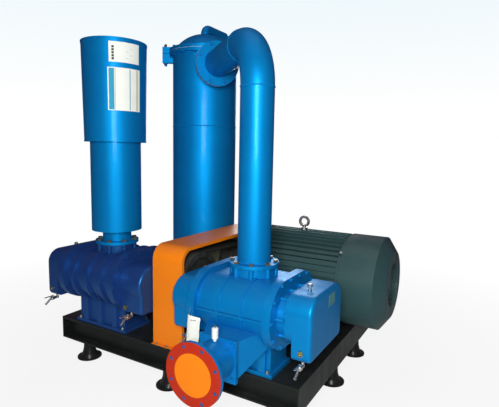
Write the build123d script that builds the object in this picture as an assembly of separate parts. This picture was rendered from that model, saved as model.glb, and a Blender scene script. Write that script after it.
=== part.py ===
from build123d import *
import math
import os

# Two-stage Roots vacuum pump set on one skid.
# Frame: X along the skid, -Y the operator's side, +Z up, floor at Z = 0,
# origin at the centre of the four outer anchor holes. All sizes in millimetres.

# ---- skid ----------------------------------------------------------------
SKID_LENGTH = 2234.0
SKID_DEPTH = 1660.0
CHANNEL_HEIGHT = 177.0
CHANNEL_FLANGE = 75.0
CHANNEL_WEB = 10.0
CHANNEL_LIP = 13.0
DECK_THICKNESS = 8.0
CROSS_MEMBER_X = (-800.0, -330.0, 330.0, 760.0)

# ---- isolator feet -------------------------------------------------------
FOOT_HEIGHT = 160.0
FOOT_RADIUS = 100.0
FOOT_NECK_RADIUS = 46.0
FOOT_RIM = 10.0
FOOT_BELL_RADIUS = 75.0
FOOT_SWELL = 26.0
FOOT_INSET = 66.0
FOOT_SIDE_Y = (-10.0, 570.0)
FOOT_ROW_X = 895.0
FOOT_PAD = 110.0
FOOT_ROW_INSET = 95.0
ANCHOR_RADIUS = 7.0
ANCHOR_OFFSET = 84.0
STUD_RADIUS = 12.0
STUD_RISE = 30.0

# ---- blowers -------------------------------------------------------------
GUARD_X = 43.5
PORT_SPREAD = 647.5
BLOWER_Y = -670.0
SHAFT_ABOVE_DECK = 447.0
ROTOR_SPACING = 250.0
LOBES = 3
ROTOR_LENGTH = 540.0
ROTOR_GAP = 0.3
TIP_GAP = 0.3
END_GAP = 0.5
CASING_WALL = 22.0
CASING_STEP = 6.0
FLANGE_LIP = 31.0
RIB_SPREAD = 150.0
BOLD_RIB = 19.0
BOLD_RIB_WIDTH = 24.0
SEAM_SPREAD = 88.0
SEAM_RIB = 7.0
LEDGE_RISE = 7.0
LEDGE_LOW = 20.0
LEDGE_HIGH = 4.0
FLANGE_THICKNESS = 24.0
END_PLATE = 34.0
PORT_HEIGHT = 247.0
PORT_BORE = 100.0
BOSS_RADIUS = 146.0
LUG_RADIUS = 17.0
SHAFT_RADIUS = 35.0
BEARING_RADIUS = 60.0
BEARING_WIDTH = 26.0
RUNNING_FIT = 0.05
DRIVE_COVER_LENGTH = 195.0
DRIVE_COVER_RADIUS = 140.0
COVER_WALL = 12.0
SUMP_DROP = 218.0
GEAR_NECK_LENGTH = 60.0
GEAR_NECK_RADIUS = 128.0
GEAR_COVER_LENGTH = 170.0
GEAR_COVER_HALF = 272.0
GEAR_COVER_TOP = 163.0
GEAR_COVER_LOW = 140.0
GEAR_COVER_ROUND = 105.0
SUMP_LENGTH = 120.0
COVER_ROUND = 40.0
COVER_EDGE = 22.0
GEAR_TEETH = 25
GEAR_WIDTH = 80.0
GEAR_BACKLASH = 0.5
GEAR_SIDE_GAP = 4.0
PEDESTAL_DEPTH = 290.0
PEDESTAL_FOOT = 26.0
PEDESTAL_WALL = 18.0
LEG_TOP = 112.0
LEG_FOOT = 215.0

# ---- suction side --------------------------------------------------------
SUCTION_DROP = 242.0
PLATE_HALF = 134.0
PLATE_THICKNESS = 26.0
PLATE_REACH = 406.0
CHEST_NEAR = 120.0
CHEST_HALF = 245.0
CHEST_REAR = 175.0
CHEST_DROP = 92.0
CHEST_WALL = 12.0
SUCTION_PIPE = 122.0
PIPE_WALL = 6.0
SUCTION_REACH = 674.0
SUCTION_FLANGE = 190.0
SUCTION_FLANGE_THICKNESS = 24.0
SUCTION_PCD = 330.0
SUCTION_HOLES = 8
SUCTION_HOLE = 11.0
GASKET = 3.0
BLANK_RADIUS = 126.0
VALVE_SETBACK = 26.0
VALVE_RADIUS = 20.0
VALVE_HEIGHT = 82.0
VALVE_NECK = 11.0
PIN_RADIUS = 4.0

# ---- pipework ------------------------------------------------------------
RISER_RADIUS = 113.0
ELBOW_RADIUS = 325.0
RISER_TOP = 2540.0
NOZZLE_REACH = 440.0
PIPE_FLANGE = 170.0
PIPE_FLANGE_THICKNESS = 24.0
PIPE_PCD = 295.0
NOZZLE_FLANGE = 188.0
NOZZLE_PCD = 330.0
PIPE_BOLTS = 8
BOLT_FLAT = 30.0
BOLT_HEAD = 13.0

# ---- interstage vessel ---------------------------------------------------
VESSEL_X = -414.0
VESSEL_Y = 277.0
VESSEL_RADIUS = 300.0
VESSEL_WALL = 8.0
VESSEL_FLOOR = 480.0
LID_SEAT = 2700.0
LID_FLANGE_RADIUS = 332.0
LID_FLANGE_THICKNESS = 28.0
LID_DISH = 157.0
LID_BOLTS = 16
LID_PCD = 630.0
LID_BOLT_FLAT = 24.0
SKIRT_LIP = 14.0
LID_SHEET = 10.0
CLAMP_REACH = 68.0
CLAMP_WIDTH = 50.0
CLAMP_DROP = 57.0
CLAMP_RISE = 30.0
CLAMP_TURN = 210.0
LID_PIPE_RADIUS = 38.0
LID_PIPE_WALL = 4.0
LID_PIPE_BEND = 55.0
LID_PIPE_RISE = 40.0
LID_PIPE_RUN = 330.0
LID_SINK = 8.0
LID_STEP = 12.0

# ---- silencer ------------------------------------------------------------
SILENCER_RADIUS = 196.0
SILENCER_NECK = 110.0
SILENCER_STEP = 1853.0
SILENCER_TOP = 2614.0
DRUM_LOW = 237.0
DRUM_HIGH = 249.0
SHEET = 5.0

# ---- motor ---------------------------------------------------------------
MOTOR_Y = 220.0
MOTOR_SHAFT_HEIGHT = 355.0
RAIL_HEIGHT = 95.0
MOTOR_FRONT_X = 213.0
SHIELD_LENGTH = 70.0
FRAME_LENGTH = 789.0
COWL_LENGTH = 291.0
COWL_CONE = 71.0
COWL_RADIUS = 362.0
COWL_FACE_RADIUS = 260.0
GRILLE_RADIUS = 170.0
FRAME_CORE = 326.0
FIN_HEIGHT = 32.0
FIN_THICKNESS = 6.0
FIN_STEP = 7.5
SHIELD_RISE = 14.0
MOTOR_SHAFT = 45.0
FOOT_SPREAD = 610.0
FOOT_PITCH = 560.0
BOX_BACK = 190.0
EYE_RADIUS = 38.0
EYE_BAR = 11.0
EYE_RISE = 66.0

# ---- belt drive ----------------------------------------------------------
BLOWER_PULLEY = 230.0
MOTOR_PULLEY = 180.0
GROOVES = 5
GROOVE_PITCH = 20.0
GROOVE_EDGE = 14.0
GROOVE_DEPTH = 16.0
GROOVE_TOP = 16.0
PULLEY_GAP = 16.0
PULLEY_RIM = 22.0
PULLEY_WEB = 30.0
PULLEY_HUB = 70.0
BELT_PROUD = 1.5
BELT_DEPTH = 12.0
BELT_FLOAT = 0.5
GUARD_HALF = 137.0
GUARD_SHEET = 4.0
GUARD_FRONT = -805.0
GUARD_REAR = 460.0
GUARD_TOP = 1100.0
GUARD_ROUND = 110.0
GUARD_LIP = 26.0
GUARD_FOOT = 24.0
GUARD_HOLE_GAP = 30.0

# ---- tag ---------------------------------------------------------------
TAG_WIDTH = 122.0
TAG_LENGTH = 200.0
TAG_CARD = 1.5
TAG_WIRE = 1.2
TAG_DROP = 50.0

# ---- worked out ----------------------------------------------------------
DECK = FOOT_HEIGHT + CHANNEL_HEIGHT + DECK_THICKNESS
HALF_X = SKID_LENGTH / 2
HALF_Y = SKID_DEPTH / 2
SHAFT_Z = DECK + SHAFT_ABOVE_DECK
PORT_Z = SHAFT_Z + PORT_HEIGHT
IDLER_Y = BLOWER_Y - ROTOR_SPACING / 2
DRIVE_Y = BLOWER_Y + ROTOR_SPACING / 2
PITCH_RADIUS = ROTOR_SPACING / 2
ROLL_RADIUS = PITCH_RADIUS / (2 * LOBES)
TIP_RADIUS = PITCH_RADIUS + 2 * ROLL_RADIUS - ROTOR_GAP
BORE_RADIUS = TIP_RADIUS + TIP_GAP
CASING_RADIUS = BORE_RADIUS + CASING_WALL
FLANGE_RADIUS = CASING_RADIUS + FLANGE_LIP
CASING_HALF = ROTOR_LENGTH / 2 + END_GAP
PLATE_END = CASING_HALF + END_PLATE
DRIVE_END = PLATE_END + DRIVE_COVER_LENGTH
GEAR_BOX_START = PLATE_END + GEAR_NECK_LENGTH
GEAR_END = GEAR_BOX_START + GEAR_COVER_LENGTH
SUCTION_Z = SHAFT_Z - SUCTION_DROP
MOTOR_Z = DECK + RAIL_HEIGHT + MOTOR_SHAFT_HEIGHT
STAGE_X = {1: GUARD_X + PORT_SPREAD, 2: GUARD_X - PORT_SPREAD}
PULLEY_WIDTH = 2 * GROOVE_EDGE + (GROOVES - 1) * GROOVE_PITCH
FRAME_X = MOTOR_FRONT_X + SHIELD_LENGTH
COWL_X = FRAME_X + FRAME_LENGTH
RIM_X = COWL_X + COWL_LENGTH
FACE_X = RIM_X + COWL_CONE
BOX_X = FRAME_X + BOX_BACK
EYE_X = FRAME_X + FRAME_LENGTH / 2


# ---- small helpers -------------------------------------------------------
def block(x0, x1, y0, y1, z0, z1):
    """Box between two corners."""
    return Pos((x0 + x1) / 2, (y0 + y1) / 2, (z0 + z1) / 2) * Box(x1 - x0, y1 - y0, z1 - z0)


def rod(start, direction, radius, length, bore=0.0):
    """Round bar, or a tube when a bore is given, from a start point along a direction."""
    face = Circle(radius) - Circle(bore) if bore else Circle(radius)
    return extrude(Plane(origin=start, z_dir=direction) * face, amount=length)


def hexagon(start, direction, flat, length):
    """Hexagonal prism, measured across its flats."""
    face = RegularPolygon(flat / 2, 6, major_radius=False)
    return extrude(Plane(origin=start, z_dir=direction) * face, amount=length)


def lathe_plane(start, direction):
    """Plane whose x runs along the axis of a turned part and whose y is the radius."""
    side = (0, -1, 0) if abs(direction[1]) < 0.5 else (1, 0, 0)
    return Plane(origin=start, x_dir=direction, z_dir=side)


def turned(start, direction, outline):
    """Turned part: outline holds (distance along the axis, radius) points."""
    face = make_face(Polyline(*outline, close=True))
    return revolve(lathe_plane(start, direction) * face, axis=Axis(start, direction))


def stadium(radius, x0, x1, grow=0.0):
    """Two round barrels side by side, joined by flat top and bottom."""
    face = Pos(BLOWER_Y, SHAFT_Z) * SlotCenterToCenter(ROTOR_SPACING, 2 * (radius + grow))
    return extrude(Plane.YZ.offset(x0) * face, amount=x1 - x0)


def ring_points(count, radius, start=0.0):
    """Points of a bolt circle as (u, v) pairs."""
    turn = 360.0 / count
    return [(radius * math.cos(math.radians(start + turn * i)),
             radius * math.sin(math.radians(start + turn * i))) for i in range(count)]


def place(stage, shape):
    """Stage-local shape, gear end towards +X and port axis at X = 0, put on the skid."""
    if stage == 2:
        shape = mirror(shape, about=Plane.YZ)
    return Pos(STAGE_X[stage], 0, 0) * shape


def save(name, shapes):
    """Write one node as a STEP file."""
    shapes = shapes if isinstance(shapes, list) else [shapes]
    solids = [solid for shape in shapes for solid in shape.solids()]
    export_step(Compound(children=solids) if len(solids) > 1 else solids[0], f"parts/{name}.step")


# ---- skid and feet -------------------------------------------------------
def channel(length):
    """Channel along +X, open towards -Y, web at Y = 0, from Z = 0 up."""
    body = block(0, length, -CHANNEL_FLANGE, 0, 0, CHANNEL_HEIGHT)
    return body - block(-1, length + 1, -CHANNEL_FLANGE - 1, -CHANNEL_WEB,
                        CHANNEL_LIP, CHANNEL_HEIGHT - CHANNEL_LIP)


def skid_frame():
    """Front and rear channels, end channels and cross members."""
    inner_y = HALF_Y - CHANNEL_FLANGE
    rail_length = SKID_LENGTH - 2 * CHANNEL_WEB
    front = Pos(-rail_length / 2, -inner_y, FOOT_HEIGHT) * channel(rail_length)
    rear = Rot(0, 0, 180) * front
    web = block(HALF_X - CHANNEL_WEB, HALF_X, -HALF_Y, HALF_Y, FOOT_HEIGHT, FOOT_HEIGHT + CHANNEL_HEIGHT)
    lips = [block(HALF_X - CHANNEL_FLANGE, HALF_X - CHANNEL_WEB, -inner_y, inner_y, z, z + CHANNEL_LIP)
            for z in (FOOT_HEIGHT, FOOT_HEIGHT + CHANNEL_HEIGHT - CHANNEL_LIP)]
    right = web + lips
    left = Rot(0, 0, 180) * right
    cross = [Pos(x, -inner_y, FOOT_HEIGHT) * Rot(0, 0, 90) * channel(2 * inner_y)
             for x in CROSS_MEMBER_X]
    row = [(x, y) for x, y in foot_places() if abs(y) > inner_y - FOOT_PAD]
    pads = []
    for x, y in row:
        y0, y1 = sorted((math.copysign(inner_y - FOOT_PAD, y), math.copysign(inner_y, y)))
        pads.append(block(x - FOOT_PAD / 2, x + FOOT_PAD / 2, y0, y1, FOOT_HEIGHT, FOOT_HEIGHT + CHANNEL_LIP))
    frame = [front, rear, right, left] + cross + pads
    studs = [rod((x, y, FOOT_HEIGHT - 1), (0, 0, 1), STUD_RADIUS, CHANNEL_LIP + 2) for x, y in foot_places()]
    return [piece - studs for piece in frame]


def deck_plate():
    """Plate that closes the top of the skid."""
    return block(-HALF_X, HALF_X, -HALF_Y, HALF_Y, DECK - DECK_THICKNESS, DECK)


def foot_places():
    """Centres of the feet: three along the front, three along the rear, two on each side."""
    row_y = HALF_Y - FOOT_ROW_INSET
    places = [(x, y) for y in (-row_y, row_y) for x in (-FOOT_ROW_X, 0.0, FOOT_ROW_X)]
    side_x = HALF_X - FOOT_INSET
    return places + [(x, y) for x in (-side_x, side_x) for y in FOOT_SIDE_Y]


def isolator_foot():
    """Bell-shaped isolator foot with two anchor holes in its rim."""
    neck, rim, hole = FOOT_NECK_RADIUS, FOOT_RADIUS, STUD_RADIUS
    waist = 0.5 * FOOT_HEIGHT
    swell = (neck + FOOT_BELL_RADIUS) / 2
    bell = turned((0, 0, 0), (0, 0, 1),
                  [(0, hole), (0, rim), (FOOT_RIM, rim), (FOOT_RIM, FOOT_BELL_RADIUS), (FOOT_RIM + FOOT_SWELL, swell),
                   (waist, neck + 2), (FOOT_HEIGHT, neck - 4), (FOOT_HEIGHT, hole)])
    for side in (-1, 1):
        bell -= rod((side * ANCHOR_OFFSET, 0, -1), (0, 0, 1), ANCHOR_RADIUS, FOOT_RIM + 2)
    return bell


def foot_stud():
    """Stud and nut that hold a foot to the skid."""
    base = FOOT_HEIGHT + CHANNEL_LIP
    shank = rod((0, 0, 20), (0, 0, 1), STUD_RADIUS, base + STUD_RISE - 20)
    return shank + hexagon((0, 0, base), (0, 0, 1), 2.6 * STUD_RADIUS, 16)


# ---- blower parts, stage-local -------------------------------------------
def casing_outside(stage):
    """Solid outside of a casing: two barrels, end flanges, ribs and the port boss."""
    body = stadium(CASING_RADIUS, -CASING_HALF, CASING_HALF)
    wide = PITCH_RADIUS + FLANGE_RADIUS + 50
    lower = block(-CASING_HALF - 1, CASING_HALF + 1, BLOWER_Y - wide, BLOWER_Y + wide,
                  SHAFT_Z - FLANGE_RADIUS - 50, SHAFT_Z)
    body -= lower - stadium(CASING_RADIUS - CASING_STEP, -CASING_HALF - 2, CASING_HALF + 2)
    for x in (-CASING_HALF, CASING_HALF - FLANGE_THICKNESS):
        body += stadium(FLANGE_RADIUS, x, x + FLANGE_THICKNESS)
    if stage == 2:
        for x in (-RIB_SPREAD, 0.0, RIB_SPREAD):
            body += stadium(CASING_RADIUS + BOLD_RIB, x - BOLD_RIB_WIDTH / 2, x + BOLD_RIB_WIDTH / 2)
    else:
        for x in (-SEAM_SPREAD, SEAM_SPREAD):
            body += stadium(CASING_RADIUS + SEAM_RIB, x - SEAM_RIB, x + SEAM_RIB)
        ledge = PITCH_RADIUS + CASING_RADIUS + LEDGE_RISE
        body += block(-CASING_HALF, CASING_HALF, BLOWER_Y - ledge, BLOWER_Y + ledge,
                      SHAFT_Z - LEDGE_LOW, SHAFT_Z - LEDGE_HIGH)
    body += rod((0, BLOWER_Y, SHAFT_Z), (0, 0, 1), BOSS_RADIUS, PORT_HEIGHT)
    for u, v in ring_points(PIPE_BOLTS, PIPE_PCD / 2, 22.5):
        body += rod((u, BLOWER_Y + v, PORT_Z - 62), (0, 0, 1), LUG_RADIUS, 62)
    return body


def casing(stage):
    """Rotor casing with its two bores, its outlet port and its inlet opening."""
    body = casing_outside(stage)
    for y in (IDLER_Y, DRIVE_Y):
        body -= rod((-CASING_HALF - 1, y, SHAFT_Z), (1, 0, 0), BORE_RADIUS, 2 * CASING_HALF + 2)
    body -= rod((0, BLOWER_Y, SHAFT_Z), (0, 0, 1), PORT_BORE, PORT_HEIGHT + 1)
    return body - inlet_opening(stage)


def inlet_opening(stage):
    """Opening low in the casing's inlet side that the inlet chest feeds."""
    side = -1 if stage == 1 else 1
    near = BLOWER_Y + side * PITCH_RADIUS
    far = BLOWER_Y + side * (PITCH_RADIUS + CASING_RADIUS + 5)
    y0, y1 = sorted((near + side * 30, far))
    return block(-180, 180, y0, y1, SHAFT_Z - 150, SHAFT_Z - 118)


def end_plate(side):
    """End plate with two bearing bores; side -1 is the drive end, +1 the gear end."""
    x0 = CASING_HALF if side > 0 else -CASING_HALF - END_PLATE
    plate = stadium(FLANGE_RADIUS, x0, x0 + END_PLATE)
    for y in (IDLER_Y, DRIVE_Y):
        plate -= rod((x0 - 1, y, SHAFT_Z), (1, 0, 0), SHAFT_RADIUS + 3, END_PLATE + 2)
        seat = x0 + END_PLATE - BEARING_WIDTH if side > 0 else x0
        plate -= rod((seat - (0 if side > 0 else 1), y, SHAFT_Z), (1, 0, 0), BEARING_RADIUS, BEARING_WIDTH + 1)
    return plate


def bearings():
    """Four bearing rings, two in each end plate."""
    rings = []
    for x in (-PLATE_END, PLATE_END - BEARING_WIDTH):
        for y in (IDLER_Y, DRIVE_Y):
            rings.append(rod((x, y, SHAFT_Z), (1, 0, 0), BEARING_RADIUS, BEARING_WIDTH,
                             SHAFT_RADIUS + RUNNING_FIT))
    return rings


def sump_block(half_width, x0, x1, z0, z1, corner=COVER_ROUND):
    """Block with rounded corners across the shafts."""
    height = z1 - z0
    face = Pos(BLOWER_Y, (z0 + z1) / 2) * RectangleRounded(2 * half_width, height, corner)
    return extrude(Plane.YZ.offset(x0) * face, amount=x1 - x0)


def drive_cover():
    """Cover over the drive-end bearings, with its oil sump."""
    half = PITCH_RADIUS + DRIVE_COVER_RADIUS - 18
    x0, x1 = -DRIVE_END, -PLATE_END
    outer = stadium(DRIVE_COVER_RADIUS, x0, x1)
    outer += sump_block(half, x0, x1, SHAFT_Z - SUMP_DROP, SHAFT_Z)
    rim = outer.faces().sort_by(Axis.X)[0].edges()
    outer = fillet(rim, COVER_EDGE)
    inner = stadium(DRIVE_COVER_RADIUS - COVER_WALL, x0 + COVER_WALL, x1 + 1)
    inner += sump_block(half - COVER_WALL, x0 + COVER_WALL, x1 + 1,
                        SHAFT_Z - SUMP_DROP + COVER_WALL, SHAFT_Z)
    cover = outer - inner
    seal_boss = rod((x0 - 6, DRIVE_Y, SHAFT_Z), (1, 0, 0), 62, 7)
    cover += seal_boss
    return cover - rod((x0 - 7, DRIVE_Y, SHAFT_Z), (1, 0, 0), SHAFT_RADIUS + RUNNING_FIT, COVER_WALL + 8)


def gear_cover():
    """Timing-gear cover: a neck at the end plate, a wide box and a sump below it."""
    def form(shrink):
        """Cover's box and sump, made smaller all round for the cavity."""
        half, round_box = GEAR_COVER_HALF - shrink, GEAR_COVER_ROUND - shrink
        x0, x1 = GEAR_BOX_START + shrink, GEAR_END - shrink
        box = sump_block(half, x0, x1, SHAFT_Z - GEAR_COVER_LOW + shrink, SHAFT_Z + GEAR_COVER_TOP - shrink, round_box)
        sump = sump_block(half, GEAR_END - SUMP_LENGTH + shrink, x1, SHAFT_Z - SUMP_DROP + shrink,
                          SHAFT_Z + 20, COVER_ROUND - shrink)
        return box + sump
    outer = form(0)
    outer = fillet(outer.faces().sort_by(Axis.X)[-1].edges(), COVER_EDGE)
    outer += stadium(GEAR_NECK_RADIUS, PLATE_END, GEAR_BOX_START + 1)
    neck = stadium(GEAR_NECK_RADIUS - COVER_WALL, PLATE_END - 1, GEAR_BOX_START + COVER_WALL + 1)
    return outer - form(COVER_WALL) - neck


def pedestal(stage, outward, inward, ribs):
    """Cast pedestal under a casing: foot flange, walls, stiffening ribs and, on stage 1, splayed legs."""
    low, high = DECK, SHAFT_Z - CASING_RADIUS + 40
    front, rear = BLOWER_Y - PEDESTAL_DEPTH / 2, BLOWER_Y + PEDESTAL_DEPTH / 2
    foot = block(-inward, outward, front, rear, low, low + PEDESTAL_FOOT)
    body = block(-inward + 22, outward - 22, front + 26, rear - 26, low, high)
    for x in ribs:
        body += block(x - 26, x + 26, front + 4, rear - 4, low, high)
    body += foot
    hollow = block(-inward + 40, outward - 40, front + 44, rear - 44, low - 1, high - 60)
    body -= hollow
    if stage == 1:
        base = low + PEDESTAL_FOOT
        gap_low, gap_high = outward - LEG_FOOT, outward - LEG_TOP
        arch = make_face(Polyline((-gap_low, base), (gap_low, base), (gap_high, high + 1), (-gap_high, high + 1),
                                  close=True))
        body -= extrude(Plane.XZ.offset(-front + 1) * arch, amount=-PEDESTAL_DEPTH - 2)
    barrels = stadium(CASING_RADIUS - CASING_STEP, -CASING_HALF, CASING_HALF)
    plates = stadium(FLANGE_RADIUS, -PLATE_END - 100, -CASING_HALF + FLANGE_THICKNESS)
    plates += stadium(FLANGE_RADIUS, CASING_HALF - FLANGE_THICKNESS, PLATE_END + 100)
    return body - barrels - plates - casing_outside(stage)


# ---- rotors and gears ----------------------------------------------------
def rotor_outline():
    """Closed outline of a cycloidal rotor, eased inwards by the running gap."""
    r, q = PITCH_RADIUS, ROLL_RADIUS
    span = math.pi / LOBES
    edges = []
    for index in range(2 * LOBES):
        lobe = index % 2 == 0
        start = (index - 0.5) * span
        sign = 1 if lobe else -1
        points = []
        for step in range(9):
            t = span * min(max(step / 8, 0.0005), 0.9995)
            carrier = (r + sign * q)
            px = carrier * math.cos(t) - sign * q * math.cos(carrier / q * t)
            py = carrier * math.sin(t) - q * math.sin(carrier / q * t)
            cx, cy = r * math.cos(t), r * math.sin(t)
            length = math.hypot(px - cx, py - cy)
            nx, ny = sign * (px - cx) / length, sign * (py - cy) / length
            x, y = px - ROTOR_GAP * nx, py - ROTOR_GAP * ny
            points.append((x * math.cos(start) - y * math.sin(start),
                           x * math.sin(start) + y * math.cos(start)))
        edges.append(points)
    curves = []
    for index, points in enumerate(edges):
        following = edges[(index + 1) % len(edges)]
        joint = ((points[-1][0] + following[0][0]) / 2, (points[-1][1] + following[0][1]) / 2)
        points[-1] = joint
        following[0] = joint
    for points in edges:
        curves.append(Spline(*points))
    return make_face(Wire(curves))


def rotor(y, drive):
    """Three-lobe rotor with its shaft."""
    plane = Plane.YZ.offset(-ROTOR_LENGTH / 2) * Pos(y, SHAFT_Z)
    body = extrude(plane * rotor_outline(), amount=ROTOR_LENGTH)
    drive_tail = PORT_SPREAD - PULLEY_GAP / 2 + 6 if drive else PLATE_END + 40
    shaft = rod((-drive_tail, y, SHAFT_Z), (1, 0, 0), SHAFT_RADIUS, drive_tail + GEAR_END - COVER_WALL - 10)
    return body + shaft


def gear_outline():
    """Involute spur gear, thinned by half the backlash on each flank."""
    module = 2 * PITCH_RADIUS / GEAR_TEETH
    base = PITCH_RADIUS * math.cos(math.radians(20))
    tip, root = PITCH_RADIUS + 0.9 * module, PITCH_RADIUS - 1.15 * module
    inv = math.tan(math.radians(20)) - math.radians(20)
    half = math.pi / (2 * GEAR_TEETH) - GEAR_BACKLASH / (2 * PITCH_RADIUS)
    flank = []
    for radius in (base, 0.5 * (base + PITCH_RADIUS), PITCH_RADIUS, 0.5 * (PITCH_RADIUS + tip), tip):
        roll = math.acos(min(1.0, base / radius))
        flank.append((radius, half + inv - (math.tan(roll) - roll)))
    flank.insert(0, (root, flank[0][1] + 0.002))
    points = []
    for tooth in range(GEAR_TEETH):
        middle = 2 * math.pi * tooth / GEAR_TEETH
        points += [(radius, middle - angle) for radius, angle in flank]
        points += [(radius, middle + angle) for radius, angle in reversed(flank)]
    return make_face(Polyline(*[(r * math.cos(a), r * math.sin(a)) for r, a in points], close=True))


def timing_gear(y):
    """Timing gear with a recessed web, seated on its rotor shaft."""
    x0 = GEAR_END - SUMP_LENGTH + COVER_WALL + GEAR_SIDE_GAP
    plane = Plane.YZ.offset(x0) * Pos(y, SHAFT_Z)
    gear = extrude(plane * gear_outline(), amount=GEAR_WIDTH)
    for x in (x0 - 1, x0 + GEAR_WIDTH - 24):
        gear -= rod((x, y, SHAFT_Z), (1, 0, 0), PITCH_RADIUS - 26, 25, SHAFT_RADIUS + 24)
    return gear - rod((x0 - 1, y, SHAFT_Z), (1, 0, 0), SHAFT_RADIUS, GEAR_WIDTH + 2)


# ---- belt drive ----------------------------------------------------------
def pulley(x0, y, z, radius, sets, bore):
    """Grooved V-belt pulley with one groove set per blower."""
    points = [(0, bore), (0, radius)]
    for first in sets:
        for groove in range(GROOVES):
            middle = first + GROOVE_EDGE + groove * GROOVE_PITCH
            points += [(middle - GROOVE_TOP / 2, radius),
                       (middle - GROOVE_TOP / 4, radius - GROOVE_DEPTH),
                       (middle + GROOVE_TOP / 4, radius - GROOVE_DEPTH),
                       (middle + GROOVE_TOP / 2, radius)]
    width = sets[-1] + PULLEY_WIDTH
    rim = radius - GROOVE_DEPTH - PULLEY_RIM
    web0, web1 = width / 2 - PULLEY_WEB / 2, width / 2 + PULLEY_WEB / 2
    points += [(width, radius), (width, rim), (web1, rim), (web1, PULLEY_HUB),
               (width, PULLEY_HUB), (width, bore)]
    body = turned((x0, y, z), (1, 0, 0), points)
    recess = rod((x0 - 1, y, z), (1, 0, 0), rim, web0 + 1, PULLEY_HUB)
    return body - recess


def v_belt(x):
    """One V-belt round the motor pulley and a blower pulley, its flanks clear of the groove."""
    span_y, span_z = MOTOR_Y - DRIVE_Y, MOTOR_Z - SHAFT_Z
    lean = math.atan2(span_z, span_y)
    tilt = math.asin((BLOWER_PULLEY - MOTOR_PULLEY) / math.hypot(span_y, span_z))

    def at(y, z, radius, angle):
        """Point on a pulley's rim."""
        return (x, y + radius * math.cos(angle), z + radius * math.sin(angle))
    near, far = (DRIVE_Y, SHAFT_Z, BLOWER_PULLEY), (MOTOR_Y, MOTOR_Z, MOTOR_PULLEY)
    up, down = lean + math.pi / 2 - tilt, lean - math.pi / 2 + tilt
    start, top = at(*near, up), at(*far, up)
    bottom, end = at(*far, down), at(*near, down)
    path = Wire([Line(start, top), ThreePointArc(top, at(*far, lean), bottom),
                 Line(bottom, end), ThreePointArc(end, at(*near, lean + math.pi), start)])
    slope = (GROOVE_TOP / 4) / GROOVE_DEPTH
    wide = GROOVE_TOP / 2 - BELT_FLOAT + BELT_PROUD * slope
    narrow = wide - BELT_DEPTH * slope
    outward = (0, math.cos(up), math.sin(up))
    along = (0, math.sin(up), -math.cos(up))
    plane = Plane(origin=start, x_dir=outward, z_dir=along)
    face = make_face(Polyline((BELT_PROUD, -wide), (BELT_PROUD, wide), (BELT_PROUD - BELT_DEPTH, narrow),
                              (BELT_PROUD - BELT_DEPTH, -narrow), close=True))
    return sweep(plane * face, path=path)


def belts():
    """Both belt sets, five belts to each blower."""
    all_belts = []
    for first in (GUARD_X + PULLEY_GAP / 2, GUARD_X - PULLEY_GAP / 2 - PULLEY_WIDTH):
        for groove in range(GROOVES):
            all_belts.append(v_belt(first + GROOVE_EDGE + groove * GROOVE_PITCH))
    return all_belts


def hood(x0, x1, inset, low):
    """Slab with two rounded top corners, set in from the guard's outline."""
    slab = block(x0, x1, GUARD_FRONT + inset, GUARD_REAR - inset, low, GUARD_TOP - inset)
    corners = slab.edges().filter_by(Axis.X).group_by(Axis.Z)[-1]
    return fillet(corners, GUARD_ROUND - inset)


def belt_guard():
    """Sheet guard: a band over the belts, a left wall, a folded lip and foot flanges."""
    x0, x1 = GUARD_X - GUARD_HALF, GUARD_X + GUARD_HALF
    shell = hood(x0, x1, 0, DECK) - hood(x0 + GUARD_SHEET, x1 - GUARD_SHEET, GUARD_SHEET, DECK - 1)
    shell -= hood(x1 - GUARD_SHEET - 1, x1 + 1, GUARD_LIP, DECK - 1)
    shell -= rod((x0 - 1, DRIVE_Y, SHAFT_Z), (1, 0, 0), SHAFT_RADIUS + GUARD_HOLE_GAP, GUARD_SHEET + 2)
    for y0, y1 in ((GUARD_FRONT - GUARD_FOOT, GUARD_FRONT + 1), (GUARD_REAR - 1, GUARD_REAR + GUARD_FOOT)):
        shell += block(x0, x1, y0, y1, DECK, DECK + GUARD_SHEET)
    return shell


# ---- suction side --------------------------------------------------------
def inlet_chest(stage):
    """Cast chest that runs from the square inlet plate to the casing's lower side."""
    plate_y = BLOWER_Y - PLATE_REACH
    rear_y = BLOWER_Y - CHEST_REAR
    touch = math.sqrt((CASING_RADIUS - CASING_STEP) ** 2 - (CHEST_REAR - PITCH_RADIUS) ** 2)
    far_low = SHAFT_Z - touch - CHEST_WALL

    def form(shrink):
        """Chest body, made smaller all round for its cavity: its side outline crossed with its plan."""
        half, wide = CHEST_NEAR - shrink, CHEST_HALF - shrink
        low, high = SUCTION_Z - CHEST_NEAR + shrink, SUCTION_Z + CHEST_NEAR - shrink
        side = make_face(Polyline((plate_y, low), (rear_y, far_low + shrink), (rear_y, SHAFT_Z - CHEST_DROP - shrink),
                                  (plate_y, high), close=True))
        plan = make_face(Polyline((-half, plate_y), (half, plate_y), (wide, rear_y), (-wide, rear_y), close=True))
        return extrude(Plane.YZ.offset(-CHEST_HALF) * side, amount=2 * CHEST_HALF) & \
            extrude(Plane.XY.offset(low - 1) * plan, amount=SHAFT_Z - low)
    barrels = stadium(CASING_RADIUS - CASING_STEP, -CASING_HALF, CASING_HALF)
    chest = form(0) - form(CHEST_WALL) - barrels
    if stage == 2:
        outside = mirror(casing_outside(2), about=Plane.XZ.offset(-BLOWER_Y))
        return mirror(chest - outside, about=Plane.XZ.offset(-BLOWER_Y))
    return chest - casing_outside(1)


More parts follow.
